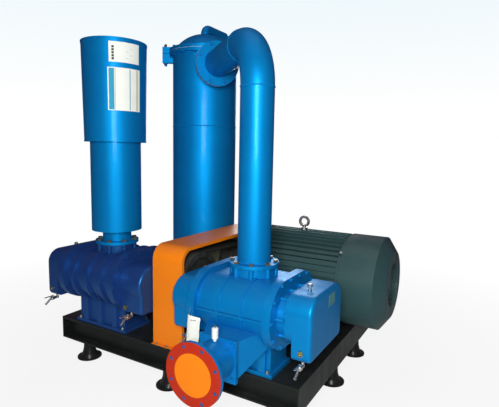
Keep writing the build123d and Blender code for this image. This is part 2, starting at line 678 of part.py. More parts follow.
def inlet_plate():
    """Square bolting plate on the inlet pipe."""
    plate_y = BLOWER_Y - PLATE_REACH
    plate = block(-PLATE_HALF, PLATE_HALF, plate_y - PLATE_THICKNESS, plate_y,
                  SUCTION_Z - PLATE_HALF, SUCTION_Z + PLATE_HALF)
    return plate - rod((0, plate_y + 1, SUCTION_Z), (0, -1, 0), SUCTION_PIPE - PIPE_WALL, PLATE_THICKNESS + 2)


def suction_pipe():
    """Inlet pipe with its square plate and its round flange."""
    plate_y = BLOWER_Y - PLATE_REACH
    face_y = BLOWER_Y - SUCTION_REACH
    pipe = rod((0, plate_y - PLATE_THICKNESS, SUCTION_Z), (0, -1, 0), SUCTION_PIPE,
               SUCTION_REACH - PLATE_REACH - PLATE_THICKNESS, SUCTION_PIPE - PIPE_WALL)
    flange = rod((0, face_y, SUCTION_Z), (0, 1, 0), SUCTION_FLANGE, SUCTION_FLANGE_THICKNESS,
                 SUCTION_PIPE - PIPE_WALL)
    for u, v in ring_points(SUCTION_HOLES, SUCTION_PCD / 2, 22.5):
        flange -= rod((u, face_y - 1, SUCTION_Z + v), (0, 1, 0), SUCTION_HOLE, SUCTION_FLANGE_THICKNESS + 2)
    return pipe + flange + inlet_plate()


def suction_gasket():
    """Coloured full-face gasket on the suction flange."""
    face_y = BLOWER_Y - SUCTION_REACH
    ring = rod((0, face_y - GASKET, SUCTION_Z), (0, 1, 0), SUCTION_FLANGE, GASKET, BLANK_RADIUS + 0.3)
    for u, v in ring_points(SUCTION_HOLES, SUCTION_PCD / 2, 22.5):
        ring -= rod((u, face_y - GASKET - 1, SUCTION_Z + v), (0, 1, 0), SUCTION_HOLE, GASKET + 2)
    return ring


def blanking_disc():
    """Transport cover over the suction mouth."""
    face_y = BLOWER_Y - SUCTION_REACH
    return rod((0, face_y - GASKET - 1, SUCTION_Z), (0, 1, 0), BLANK_RADIUS, GASKET + 1)


def relief_valve():
    """Small relief valve on top of the inlet pipe: body and lifting pin."""
    y = BLOWER_Y - PLATE_REACH - PLATE_THICKNESS - VALVE_SETBACK
    base = SUCTION_Z + math.sqrt(SUCTION_PIPE ** 2 - VALVE_NECK ** 2)
    guide = PIN_RADIUS + RUNNING_FIT
    seat, spring = 0.4 * VALVE_HEIGHT, 0.7 * VALVE_HEIGHT
    chamber = 0.5 * VALVE_RADIUS
    body = turned((0, y, base), (0, 0, 1),
                  [(-8, 0), (-8, VALVE_NECK), (10, VALVE_NECK), (10, VALVE_RADIUS - 4), (16, VALVE_RADIUS),
                   (VALVE_HEIGHT - 5, VALVE_RADIUS), (VALVE_HEIGHT, VALVE_RADIUS - 5), (VALVE_HEIGHT, guide),
                   (spring, guide), (spring, chamber), (seat, chamber), (seat, 0)])
    body -= rod((0, y - 60, SUCTION_Z), (0, 1, 0), SUCTION_PIPE, 120)
    collar = chamber - 1
    tip = VALVE_HEIGHT + 12
    pin = turned((0, y, base), (0, 0, 1),
                 [(seat + 6, 0), (seat + 6, collar), (seat + 11, collar), (seat + 11, PIN_RADIUS), (tip, PIN_RADIUS),
                  (tip, PIN_RADIUS + 2), (tip + 6, PIN_RADIUS + 2), (tip + 6, 0)])
    return body, pin


# ---- pipework ------------------------------------------------------------
def bent_tube(start, turn, end, bend, radius, wall):
    """Tube up from a start point, round a bend below the turn point and level to its end."""
    away = math.hypot(end[0] - turn[0], end[1] - turn[1])
    ux, uy = (end[0] - turn[0]) / away, (end[1] - turn[1]) / away
    rise = turn[2] - bend - start[2]
    tube = rod(start, (0, 0, 1), radius, rise, radius - wall)
    ring = Plane(origin=(start[0], start[1], turn[2] - bend), z_dir=(0, 0, 1)) * (Circle(radius) - Circle(radius - wall))
    centre = (turn[0] + ux * bend, turn[1] + uy * bend, turn[2] - bend)
    tube += revolve(ring, axis=Axis(centre, (-uy, ux, 0)), revolution_arc=90)
    level = (turn[0] + ux * bend, turn[1] + uy * bend, turn[2])
    return tube + rod(level, (ux, uy, 0), radius, away - bend, radius - wall)


def riser_end():
    """Centre of the riser's far flange face and the heading from the riser to the vessel."""
    x, y = STAGE_X[1], BLOWER_Y
    away = math.hypot(VESSEL_X - x, VESSEL_Y - y)
    ux, uy = (VESSEL_X - x) / away, (VESSEL_Y - y) / away
    run = away - NOZZLE_REACH
    return (x + ux * run, y + uy * run, RISER_TOP), (ux, uy)


def riser_pipe():
    """Riser with its bend, a flange at the port and a flange at the vessel nozzle."""
    x, y = STAGE_X[1], BLOWER_Y
    end, (ux, uy) = riser_end()
    low = PORT_Z + GASKET
    bore = RISER_RADIUS - PIPE_WALL
    pipe = bent_tube((x, y, low), (x, y, RISER_TOP), end, ELBOW_RADIUS, RISER_RADIUS, PIPE_WALL)
    pipe += rod((x, y, low), (0, 0, 1), PIPE_FLANGE, PIPE_FLANGE_THICKNESS, bore)
    return pipe + rod(end, (-ux, -uy, 0), NOZZLE_FLANGE, PIPE_FLANGE_THICKNESS, bore)


def nozzle_parts():
    """Vessel nozzle: short pipe and flange that face the riser."""
    end, (ux, uy) = riser_end()
    face = (end[0] + ux * GASKET, end[1] + uy * GASKET, end[2])
    bore = RISER_RADIUS - PIPE_WALL
    reach = NOZZLE_REACH - GASKET - VESSEL_RADIUS + 40
    tube = rod(face, (ux, uy, 0), RISER_RADIUS, reach, bore)
    return tube + rod(face, (ux, uy, 0), NOZZLE_FLANGE, PIPE_FLANGE_THICKNESS, bore), face, (ux, uy)


def flange_bolts(centre, direction, side, count, pcd, grip, start=22.5, flat=BOLT_FLAT):
    """Heads and nuts on both outer faces of a flange pair; centre lies at the middle."""
    plane = Plane(origin=centre, z_dir=direction)
    bolts = []
    for u, v in ring_points(count, pcd / 2, start):
        for sign in side:
            spot = plane.from_local_coords(Vector(u, v, sign * grip / 2))
            heading = tuple(sign * c for c in direction)
            bolts.append(hexagon(tuple(spot), heading, flat, BOLT_HEAD))
    return bolts


# ---- vessel --------------------------------------------------------------
def dish(radius, height, base_z):
    """Dished end: a spherical cap that stands on a flat ring."""
    big = (radius ** 2 + height ** 2) / (2 * height)
    keep = rod((VESSEL_X, VESSEL_Y, base_z), (0, 0, 1), radius, height + 1)
    return Pos(VESSEL_X, VESSEL_Y, base_z + height - big) * Sphere(big) & keep


def clamp_lug(z0, z1):
    """Clamp lug on the rim of the vessel's flange or lid."""
    arm = block(VESSEL_RADIUS, LID_FLANGE_RADIUS + CLAMP_REACH, -CLAMP_WIDTH / 2, CLAMP_WIDTH / 2, z0, z1)
    return Pos(VESSEL_X, VESSEL_Y, 0) * Rot(0, 0, CLAMP_TURN) * arm


def vessel_shell():
    """Upright vessel: skirt, floor, shell, nozzle, tangential outlet and lid flange."""
    low = LID_SEAT - LID_FLANGE_THICKNESS
    centre = (VESSEL_X, VESSEL_Y)
    shell = rod((*centre, DECK), (0, 0, 1), VESSEL_RADIUS, LID_SEAT - DECK, VESSEL_RADIUS - VESSEL_WALL)
    shell += rod((*centre, VESSEL_FLOOR), (0, 0, 1), VESSEL_RADIUS - 1, VESSEL_WALL + 4)
    shell += rod((*centre, low), (0, 0, 1), LID_FLANGE_RADIUS, LID_FLANGE_THICKNESS, VESSEL_RADIUS - VESSEL_WALL)
    shell += rod((*centre, DECK), (0, 0, 1), VESSEL_RADIUS + SKIRT_LIP, SKIRT_LIP, VESSEL_RADIUS - 1)
    nozzle, face, (ux, uy) = nozzle_parts()
    inside = rod((*centre, VESSEL_FLOOR + 20), (0, 0, 1), VESSEL_RADIUS - VESSEL_WALL, LID_SEAT - VESSEL_FLOOR)
    shell += nozzle
    shell -= inside & rod((face[0], face[1], face[2]), (ux, uy, 0), RISER_RADIUS + 1, 400)
    shell -= rod(face, (ux, uy, 0), RISER_RADIUS - PIPE_WALL, NOZZLE_REACH - 60)
    shell += clamp_lug(low - CLAMP_DROP, LID_SEAT)
    outlet = STAGE_X[2]
    bore = RISER_RADIUS - PIPE_WALL
    shell -= rod((outlet, VESSEL_Y - VESSEL_RADIUS - 50, SUCTION_Z), (0, 1, 0), bore, VESSEL_RADIUS + 50)
    return shell


def vessel_lid():
    """Lid: flat ring with a dished centre and a pipe boss."""
    centre = (VESSEL_X, VESSEL_Y)
    base = LID_SEAT + GASKET
    dish_z = base + LID_FLANGE_THICKNESS - LID_SINK
    lid = rod((*centre, base), (0, 0, 1), LID_FLANGE_RADIUS, LID_FLANGE_THICKNESS)
    lid += dish(VESSEL_RADIUS - LID_STEP, LID_DISH, dish_z)
    rim = VESSEL_RADIUS - LID_STEP - LID_SHEET
    crown = dish_z + LID_DISH - base
    hollow = turned((*centre, base), (0, 0, 1),
                    [(-1, 0), (-1, rim), (LID_FLANGE_THICKNESS, rim), (crown - 0.3 * LID_DISH, 0.55 * rim),
                     (crown - 1.5 * LID_SHEET, 0.12 * rim), (crown - 1.5 * LID_SHEET, 0)])
    return lid - hollow + clamp_lug(base, base + LID_FLANGE_THICKNESS + CLAMP_RISE)


def lid_pipe():
    """Small vent pipe on the lid: a stub, a bend and a level run to the rear."""
    dish_z = LID_SEAT + GASKET + LID_FLANGE_THICKNESS - LID_SINK
    x, y = VESSEL_X + 40, VESSEL_Y - 60
    start = (x, y, dish_z + LID_DISH - 12)
    turn = (x, y, dish_z + LID_DISH + LID_PIPE_RISE)
    pipe = bent_tube(start, turn, (x, y + LID_PIPE_RUN, turn[2]), LID_PIPE_BEND, LID_PIPE_RADIUS, LID_PIPE_WALL)
    return pipe - dish(VESSEL_RADIUS - LID_STEP, LID_DISH, dish_z)


def interstage_pipe():
    """Pipe from the vessel to the second stage's inlet chest."""
    x = STAGE_X[2]
    y0 = BLOWER_Y + PLATE_REACH
    bore = RISER_RADIUS - PIPE_WALL
    pipe = rod((x, y0, SUCTION_Z), (0, 1, 0), RISER_RADIUS, VESSEL_Y - y0, bore)
    pipe += block(x - PLATE_HALF, x + PLATE_HALF, y0, y0 + PLATE_THICKNESS,
                  SUCTION_Z - PLATE_HALF, SUCTION_Z + PLATE_HALF)
    pipe -= rod((x, y0 - 1, SUCTION_Z), (0, 1, 0), bore, PLATE_THICKNESS + 2)
    shell = rod((VESSEL_X, VESSEL_Y, DECK), (0, 0, 1), VESSEL_RADIUS, LID_SEAT - DECK)
    return pipe - shell


# ---- silencer ------------------------------------------------------------
def silencer_body():
    """Silencer's lower shell on its flanged neck, with a tail that carries the drum."""
    x, y = STAGE_X[2], BLOWER_Y
    low = PORT_Z + GASKET
    floor = PORT_Z + SILENCER_NECK
    body = rod((x, y, low), (0, 0, 1), RISER_RADIUS, floor - low + 6, RISER_RADIUS - PIPE_WALL)
    body += rod((x, y, low), (0, 0, 1), PIPE_FLANGE, PIPE_FLANGE_THICKNESS, RISER_RADIUS - PIPE_WALL)
    body += rod((x, y, floor), (0, 0, 1), SILENCER_RADIUS, 8, RISER_RADIUS - PIPE_WALL)
    return body + rod((x, y, floor), (0, 0, 1), SILENCER_RADIUS, SILENCER_STEP - floor, SILENCER_RADIUS - SHEET)


def silencer_drum():
    """Tapered upper drum with a rolled lip at each end and a recessed slotted outlet plate."""
    x, y = STAGE_X[2], BLOWER_Y
    height = SILENCER_TOP - SILENCER_STEP
    lip = 3.0
    outline = [(0, RISER_RADIUS), (0, DRUM_LOW + lip), (10, DRUM_LOW + lip), (10, DRUM_LOW),
               (height - 12, DRUM_HIGH), (height - 12, DRUM_HIGH + lip), (height, DRUM_HIGH + lip),
               (height, DRUM_HIGH - SHEET), (height - 30, DRUM_HIGH - SHEET), (height - 30, 30),
               (height - 36, 30), (height - 36, DRUM_HIGH - SHEET), (6, DRUM_LOW - SHEET), (6, RISER_RADIUS)]
    drum = turned((x, y, SILENCER_STEP), (0, 0, 1), outline)
    for u, v in ring_points(10, 140.0):
        angle = math.degrees(math.atan2(v, u))
        slot = Pos(x + u, y + v, SILENCER_TOP - 33) * Rot(0, 0, angle) * Box(130, 34, 20)
        drum -= slot
    return drum


# ---- motor ---------------------------------------------------------------
def motor_housing():
    """Finned motor frame with four feet."""
    centre = Pos(MOTOR_Y, MOTOR_Z)
    face = Circle(FRAME_CORE)
    fins = int(360 / FIN_STEP)
    for index in range(fins):
        angle = FIN_STEP * (index + 0.5)
        if abs(angle - 270) < 32:
            continue
        face += Rot(0, 0, angle) * Pos(FRAME_CORE + FIN_HEIGHT / 2 - 3, 0) * \
            Rectangle(FIN_HEIGHT + 6, FIN_THICKNESS)
    face -= Circle(FRAME_CORE - 34)
    body = extrude(Plane.YZ.offset(FRAME_X) * centre * face, amount=FRAME_LENGTH)
    feet_z = DECK + RAIL_HEIGHT
    middle = FRAME_X + FRAME_LENGTH / 2
    for side_x in (-1, 1):
        for side_y in (-1, 1):
            fx = middle + side_x * FOOT_PITCH / 2
            fy = MOTOR_Y + side_y * FOOT_SPREAD / 2
            body += block(fx - 60, fx + 60, fy - 70, fy + 70, feet_z, feet_z + 34)
            y0, y1 = sorted((fy - side_y * 95, fy + side_y * 30))
            body += block(fx - 45, fx + 45, y0, y1, feet_z + 20, MOTOR_Z - 150)
    edge = FRAME_CORE + FIN_HEIGHT
    body += block(BOX_X - 110, BOX_X + 110, MOTOR_Y + FRAME_CORE - 60, MOTOR_Y + edge, MOTOR_Z - 70, MOTOR_Z + 90)
    body += rod((EYE_X, MOTOR_Y, MOTOR_Z + FRAME_CORE - 20), (0, 0, 1), 36, FIN_HEIGHT + 20)
    return body - rod((FRAME_X - 1, MOTOR_Y, MOTOR_Z), (1, 0, 0), FRAME_CORE - 34, FRAME_LENGTH + 2)


def motor_end_shields():
    """Drive-end and fan-end shields with bearing bosses."""
    bore = MOTOR_SHAFT + RUNNING_FIT
    front = turned((FRAME_X, MOTOR_Y, MOTOR_Z), (-1, 0, 0),
                   [(0, bore), (0, FRAME_CORE + SHIELD_RISE), (22, FRAME_CORE + SHIELD_RISE), (34, FRAME_CORE - 30),
                    (48, 150), (SHIELD_LENGTH, 130), (SHIELD_LENGTH, bore)])
    rear = turned((COWL_X, MOTOR_Y, MOTOR_Z), (1, 0, 0),
                  [(0, bore), (0, FRAME_CORE + SHIELD_RISE), (22, FRAME_CORE + SHIELD_RISE), (34, FRAME_CORE - 40),
                   (44, 140), (62, 120), (62, bore)])
    return [front, rear]


def motor_cowl():
    """Fan cowl: sheet drum, cone and a face with a recessed air grille."""
    skin = 4.0
    start = 30.0
    outline = [(start, COWL_RADIUS), (COWL_LENGTH, COWL_RADIUS), (COWL_LENGTH + COWL_CONE, COWL_FACE_RADIUS),
               (COWL_LENGTH + COWL_CONE, GRILLE_RADIUS), (COWL_LENGTH + COWL_CONE - 14, GRILLE_RADIUS),
               (COWL_LENGTH + COWL_CONE - 14, GRILLE_RADIUS - 14), (COWL_LENGTH + COWL_CONE - 18, GRILLE_RADIUS - 14),
               (COWL_LENGTH + COWL_CONE - 18, GRILLE_RADIUS + skin), (COWL_LENGTH + COWL_CONE - skin, GRILLE_RADIUS + skin),
               (COWL_LENGTH + COWL_CONE - skin, COWL_FACE_RADIUS - 3), (COWL_LENGTH - 2, COWL_RADIUS - skin),
               (start, COWL_RADIUS - skin)]
    cowl = turned((COWL_X, MOTOR_Y, MOTOR_Z), (1, 0, 0), outline)
    grille_x = FACE_X - 18
    hub = rod((grille_x, MOTOR_Y, MOTOR_Z), (1, 0, 0), 44, 4)
    for radius in (76.0, 108.0, 138.0):
        hub += rod((grille_x, MOTOR_Y, MOTOR_Z), (1, 0, 0), radius + 4, 4, radius - 4)
    for angle in (0, 60, 120):
        bar = Rot(angle, 0, 0) * Box(4, 2 * GRILLE_RADIUS - 26, 9)
        hub += Pos(grille_x + 2, MOTOR_Y, MOTOR_Z) * bar
    cowl += hub
    height = COWL_RADIUS - FRAME_CORE - SHIELD_RISE
    for angle in (45, 135, 225, 315):
        pad = Pos(0, COWL_RADIUS - height / 2, 0) * Box(48, height, 26)
        cowl += Pos(COWL_X + 30, MOTOR_Y, MOTOR_Z) * Rot(angle, 0, 0) * pad
    return cowl


def motor_rotor():
    """Motor rotor core on its shaft."""
    shaft_start = GUARD_X - PULLEY_GAP / 2 - PULLEY_WIDTH - 4
    shaft = rod((shaft_start, MOTOR_Y, MOTOR_Z), (1, 0, 0), MOTOR_SHAFT, COWL_X + 190 - shaft_start)
    return shaft + rod((FRAME_X + 90, MOTOR_Y, MOTOR_Z), (1, 0, 0), 205, FRAME_LENGTH - 180)


def motor_fan():
    """Cooling fan behind the fan-end shield."""
    x0 = COWL_X + 100
    fan = rod((x0, MOTOR_Y, MOTOR_Z), (1, 0, 0), 90, 80, MOTOR_SHAFT)
    fan += rod((x0, MOTOR_Y, MOTOR_Z), (1, 0, 0), 290, 8, MOTOR_SHAFT)
    for index in range(8):
        blade = Box(80, 200, 6)
        fan += Pos(x0 + 40, MOTOR_Y, MOTOR_Z) * Rot(45 * index, 0, 0) * Pos(0, 185, 0) * blade
    return fan


def terminal_box():
    """Terminal box on the motor's rear side."""
    x = BOX_X
    y0 = MOTOR_Y + FRAME_CORE + FIN_HEIGHT
    body = block(x - 130, x + 130, y0, y0 + 120, MOTOR_Z - 90, MOTOR_Z + 110)
    body = fillet(body.edges().filter_by(Axis.Y), 24)
    lid = block(x - 138, x + 138, y0 + 120, y0 + 138, MOTOR_Z - 98, MOTOR_Z + 118)
    lid = fillet(lid.edges().filter_by(Axis.Y), 28)
    gland = rod((x, y0 + 60, MOTOR_Z - 90), (0, 0, -1), 32, 40, 20)
    return body + lid + gland


def eye_bolt():
    """Forged lifting eye on top of the motor: a ring with eased rims, a neck and a collar."""
    base = MOTOR_Z + FRAME_CORE + FIN_HEIGHT
    middle = base + EYE_RISE
    inner, outer, half = EYE_RADIUS - EYE_BAR, EYE_RADIUS + EYE_BAR, EYE_BAR
    ease = 0.6 * EYE_BAR
    ring = turned((EYE_X, MOTOR_Y - half, middle), (0, 1, 0),
                  [(ease, inner), (0, inner + ease), (0, outer - ease), (ease, outer), (2 * half - ease, outer),
                   (2 * half, outer - ease), (2 * half, inner + ease), (2 * half - ease, inner)])
    collar = rod((EYE_X, MOTOR_Y, base), (0, 0, 1), 30, 16)
    neck = rod((EYE_X, MOTOR_Y, base + 10), (0, 0, 1), 16, middle - base - EYE_RADIUS - 6)
    return ring + collar + neck


def motor_rails():
    """Two slide rails under the motor feet."""
    rails = []
    middle = FRAME_X + FRAME_LENGTH / 2
    for side in (-1, 1):
        x = middle + side * FOOT_PITCH / 2
        y0, y1 = MOTOR_Y - FOOT_SPREAD / 2 - 150, MOTOR_Y + FOOT_SPREAD / 2 + 150
        rail = block(x - 60, x + 60, y0, y1, DECK, DECK + RAIL_HEIGHT)
        for cut in (-1, 1):
            x0, x1 = sorted((x + cut * 14, x + cut * 61))
            rail -= block(x0, x1, y0 - 1, y1 + 1, DECK + 16, DECK + RAIL_HEIGHT - 16)
        rails.append(rail)
    return rails


# ---- fittings ------------------------------------------------------------
def sight_glass(x, y, z):
    """Oil sight glass on the front of a cover."""
    return turned((x, y, z), (0, -1, 0), [(0, 0), (0, 17), (10, 17), (10, 11), (6, 11), (6, 0)])


def breather(x, y, z):
    """Filler and breather plug on top of a cover."""
    return turned((x, y, z), (0, 0, 1), [(0, 0), (0, 12), (8, 12), (8, 9), (20, 9), (20, 16), (34, 16), (38, 12), (38, 0)])


def drain_cock(x, y, z):
    """Drain elbow and ball-valve body below a cover, pointing forwards and down."""
    nipple = rod((x, y, z), (0, 0, -1), 9, 26)
    knee = Pos(x, y, z - 26) * Sphere(13)
    barrel = rod((x, y, z - 26), (0, -1, 0), 11, 66)
    collar = hexagon((x, y - 30, z - 26), (0, -1, 0), 28, 24)
    spindle = rod((x, y - 42, z - 26), (0, 0, 1), 4, 24)
    return nipple + knee + barrel + collar + spindle


def drain_lever(x, y, z):
    """Quarter-turn lever of a drain cock, turning about the valve's spindle."""
    hub = rod((x, y - 42, z - 26 + 17), (0, 0, 1), 9, 6, 4.05)
    arm = block(x - 6, x + 6, y - 42 - 76, y - 42 - 8, z - 26 + 18, z - 26 + 22)
    return hub + arm


def hanging_tag():
    """Card tag that hangs on a wire from the front of the drive-end plate."""
    front = BLOWER_Y - PITCH_RADIUS - FLANGE_RADIUS
    x0 = STAGE_X[1] - PLATE_END
    top = SHAFT_Z - TAG_DROP
    card = block(x0, x0 + TAG_WIDTH, front - 2 * TAG_WIRE - TAG_CARD, front - 2 * TAG_WIRE,
                 top - TAG_LENGTH, top)
    wire = rod((x0 + 20, front - TAG_WIRE, top - 12), (0, 0, 1), TAG_WIRE, TAG_DROP + 20)
    return card + wire


def cover_spots(stage):
    """Places of the fittings on a stage's covers, in stage-local X."""
    drive_x = -(PLATE_END + 0.5 * DRIVE_COVER_LENGTH)
    gear_x = GEAR_END - 0.5 * SUMP_LENGTH
    drive_front = BLOWER_Y - PITCH_RADIUS - DRIVE_COVER_RADIUS + 18
    gear_front = BLOWER_Y - GEAR_COVER_HALF
    return (drive_x, drive_front), (gear_x, gear_front)


# ---- build ---------------------------------------------------------------
def build():
    """Build every node and write it."""
    os.makedirs("parts", exist_ok=True)
    save("skid_frame", skid_frame())
    save("deck_plate", deck_plate())
    foot, stud = isolator_foot(), foot_stud()
    save("isolator_feet", [Pos(x, y, 0) * foot for x, y in foot_places()])
    save("foot_studs", [Pos(x, y, 0) * stud for x, y in foot_places()])
    save("belt_guard", belt_guard())

    ring_nodes, glasses, plugs, cocks = [], [], [], []
    pedestals = {1: pedestal(1, 227, 227, (-150.0, 150.0)), 2: pedestal(2, 340, 220, (-100.0, 70.0, 230.0))}
    for stage in (1, 2):
        name = f"stage{stage}"
        save(f"{name}_casing", place(stage, casing(stage)))
        save(f"{name}_end_plates", [place(stage, end_plate(-1)), place(stage, end_plate(1))])
        save(f"{name}_drive_cover", place(stage, drive_cover()))
        save(f"{name}_gear_cover", place(stage, gear_cover()))
        ring_nodes += [place(stage, ring) for ring in bearings()]
        (drive_x, drive_front), (gear_x, gear_front) = cover_spots(stage)
        low = SHAFT_Z - SUMP_DROP
        glasses += [place(stage, sight_glass(drive_x + 60, drive_front, low + 50)),
                    place(stage, sight_glass(gear_x, gear_front, low + 60))]
        plugs += [place(stage, breather(drive_x, BLOWER_Y, SHAFT_Z + DRIVE_COVER_RADIUS)),
                  place(stage, breather(gear_x - 40, BLOWER_Y - 60, SHAFT_Z + GEAR_COVER_TOP))]
        for end, x, y, z in (("drive", drive_x + 40, drive_front + 40, low),
                             ("gear", gear_x, gear_front + 40, low)):
            cocks.append(place(stage, drain_cock(x, y, z)))
            save(f"{name}_{end}_drain_lever", place(stage, drain_lever(x, y, z)))
        save(f"{name}_drive_rotor", place(stage, rotor(DRIVE_Y, True)))
        save(f"{name}_idler_rotor", place(stage, rotor(IDLER_Y, False)))
        save(f"{name}_drive_gear", place(stage, timing_gear(DRIVE_Y)))
        save(f"{name}_idler_gear", place(stage, timing_gear(IDLER_Y)))
    save("pedestals", [place(stage, pedestals[stage]) for stage in (1, 2)])
    save("rotor_bearings", ring_nodes)
    save("sight_glasses", glasses)
    save("breather_plugs", plugs)
    save("drain_cocks", cocks)

    first = GUARD_X + PULLEY_GAP / 2
    second = GUARD_X - PULLEY_GAP / 2 - PULLEY_WIDTH
    save("stage1_pulley", pulley(first, DRIVE_Y, SHAFT_Z, BLOWER_PULLEY, [0], SHAFT_RADIUS))
    save("stage2_pulley", pulley(second, DRIVE_Y, SHAFT_Z, BLOWER_PULLEY, [0], SHAFT_RADIUS))
    save("motor_pulley", pulley(second, MOTOR_Y, MOTOR_Z, MOTOR_PULLEY,
                                [0, PULLEY_WIDTH + PULLEY_GAP], MOTOR_SHAFT))
    save("v_belts", belts())

    for stage in (1, 2):
        save(f"stage{stage}_inlet_chest", Pos(STAGE_X[stage], 0, 0) * inlet_chest(stage))
    save("suction_pipe", Pos(STAGE_X[1], 0, 0) * suction_pipe())
    save("suction_gasket", Pos(STAGE_X[1], 0, 0) * suction_gasket())
    save("blanking_disc", Pos(STAGE_X[1], 0, 0) * blanking_disc())
    valve, pin = relief_valve()
    save("relief_valve_body", Pos(STAGE_X[1], 0, 0) * valve)
    save("relief_valve_pin", Pos(STAGE_X[1], 0, 0) * pin)

    save("riser_pipe", riser_pipe())
    save("vessel_shell", vessel_shell())
    save("vessel_lid", vessel_lid())
    save("lid_pipe", lid_pipe())
    save("interstage_pipe", interstage_pipe())
    save("silencer_body", silencer_body())
    save("silencer_drum", silencer_drum())

    end, (ux, uy) = riser_end()
    bore = RISER_RADIUS - PIPE_WALL
    gaskets = [rod((STAGE_X[s], BLOWER_Y, PORT_Z), (0, 0, 1), BOSS_RADIUS, GASKET, bore) for s in (1, 2)]
    gaskets.append(rod(end, (ux, uy, 0), NOZZLE_FLANGE - 4, GASKET, bore))
    gaskets.append(rod((VESSEL_X, VESSEL_Y, LID_SEAT), (0, 0, 1), LID_FLANGE_RADIUS - 3, GASKET,
                       VESSEL_RADIUS - VESSEL_WALL))
    save("pipe_gaskets", gaskets)
    grip = 2 * PIPE_FLANGE_THICKNESS + GASKET
    middle = (end[0] + ux * GASKET / 2, end[1] + uy * GASKET / 2, end[2])
    bolts = flange_bolts(middle, (ux, uy, 0), (-1, 1), PIPE_BOLTS, NOZZLE_PCD, grip)
    top = PORT_Z + GASKET + PIPE_FLANGE_THICKNESS
    for s in (1, 2):
        bolts += flange_bolts((STAGE_X[s], BLOWER_Y, top), (0, 0, 1), (1,), PIPE_BOLTS, PIPE_PCD, 0)
    lid_mid = (VESSEL_X, VESSEL_Y, LID_SEAT + GASKET / 2)
    bolts += flange_bolts(lid_mid, (0, 0, 1), (-1, 1), LID_BOLTS, LID_PCD,
                          2 * LID_FLANGE_THICKNESS + GASKET, CLAMP_TURN - 180 / LID_BOLTS, LID_BOLT_FLAT)
    save("pipe_bolts", bolts)

    save("motor_housing", motor_housing())
    save("motor_end_shields", motor_end_shields())
    save("motor_cowl", motor_cowl())
    save("motor_rotor", motor_rotor())
    save("motor_fan", motor_fan())
    save("terminal_box", terminal_box())
    save("motor_eye_bolt", eye_bolt())
    save("motor_rails", motor_rails())
    save("hanging_tag", hanging_tag())


build()
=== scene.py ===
"""Looks for a two-stage lobe-rotor vacuum pump set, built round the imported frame."""
from __future__ import annotations

import logging
import math
from dataclasses import dataclass, field, replace
from enum import Enum
from typing import Callable, Iterable, Sequence

import bmesh
import bpy
from mathutils import Matrix, Vector


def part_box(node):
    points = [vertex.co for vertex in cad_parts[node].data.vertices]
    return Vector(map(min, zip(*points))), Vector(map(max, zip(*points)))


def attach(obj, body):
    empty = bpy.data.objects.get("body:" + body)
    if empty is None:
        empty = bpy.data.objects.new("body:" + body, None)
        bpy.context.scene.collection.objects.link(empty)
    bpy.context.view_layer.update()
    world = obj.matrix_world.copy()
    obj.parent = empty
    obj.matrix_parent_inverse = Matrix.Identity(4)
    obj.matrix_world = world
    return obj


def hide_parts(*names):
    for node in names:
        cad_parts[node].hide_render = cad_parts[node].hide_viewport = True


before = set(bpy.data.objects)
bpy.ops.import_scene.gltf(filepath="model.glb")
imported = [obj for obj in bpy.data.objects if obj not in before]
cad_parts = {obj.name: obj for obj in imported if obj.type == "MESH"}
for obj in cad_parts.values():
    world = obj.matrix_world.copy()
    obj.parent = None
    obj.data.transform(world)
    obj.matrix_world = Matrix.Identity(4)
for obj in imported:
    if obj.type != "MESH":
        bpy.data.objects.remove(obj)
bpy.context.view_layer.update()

LOG = logging.getLogger("pump_set")
ROOT = "set"
MERGE = 1e-6
SHEET_THICKNESS = 0.0008
SHEET_GAP = 0.0004
Colour = tuple[float, float, float]
Spot = tuple[Vector, Vector]
WHITE = (1.0, 1.0, 1.0)


# ---- node graphs -------------------------------------------------------------
FLOAT, WHOLE, VECTOR = "NodeSocketFloat", "NodeSocketInt", "NodeSocketVector"


def opaque(colour: object) -> object:
    """Give a plain colour its alpha; a socket passes through."""
    return (*colour, 1.0) if isinstance(colour, tuple) else colour


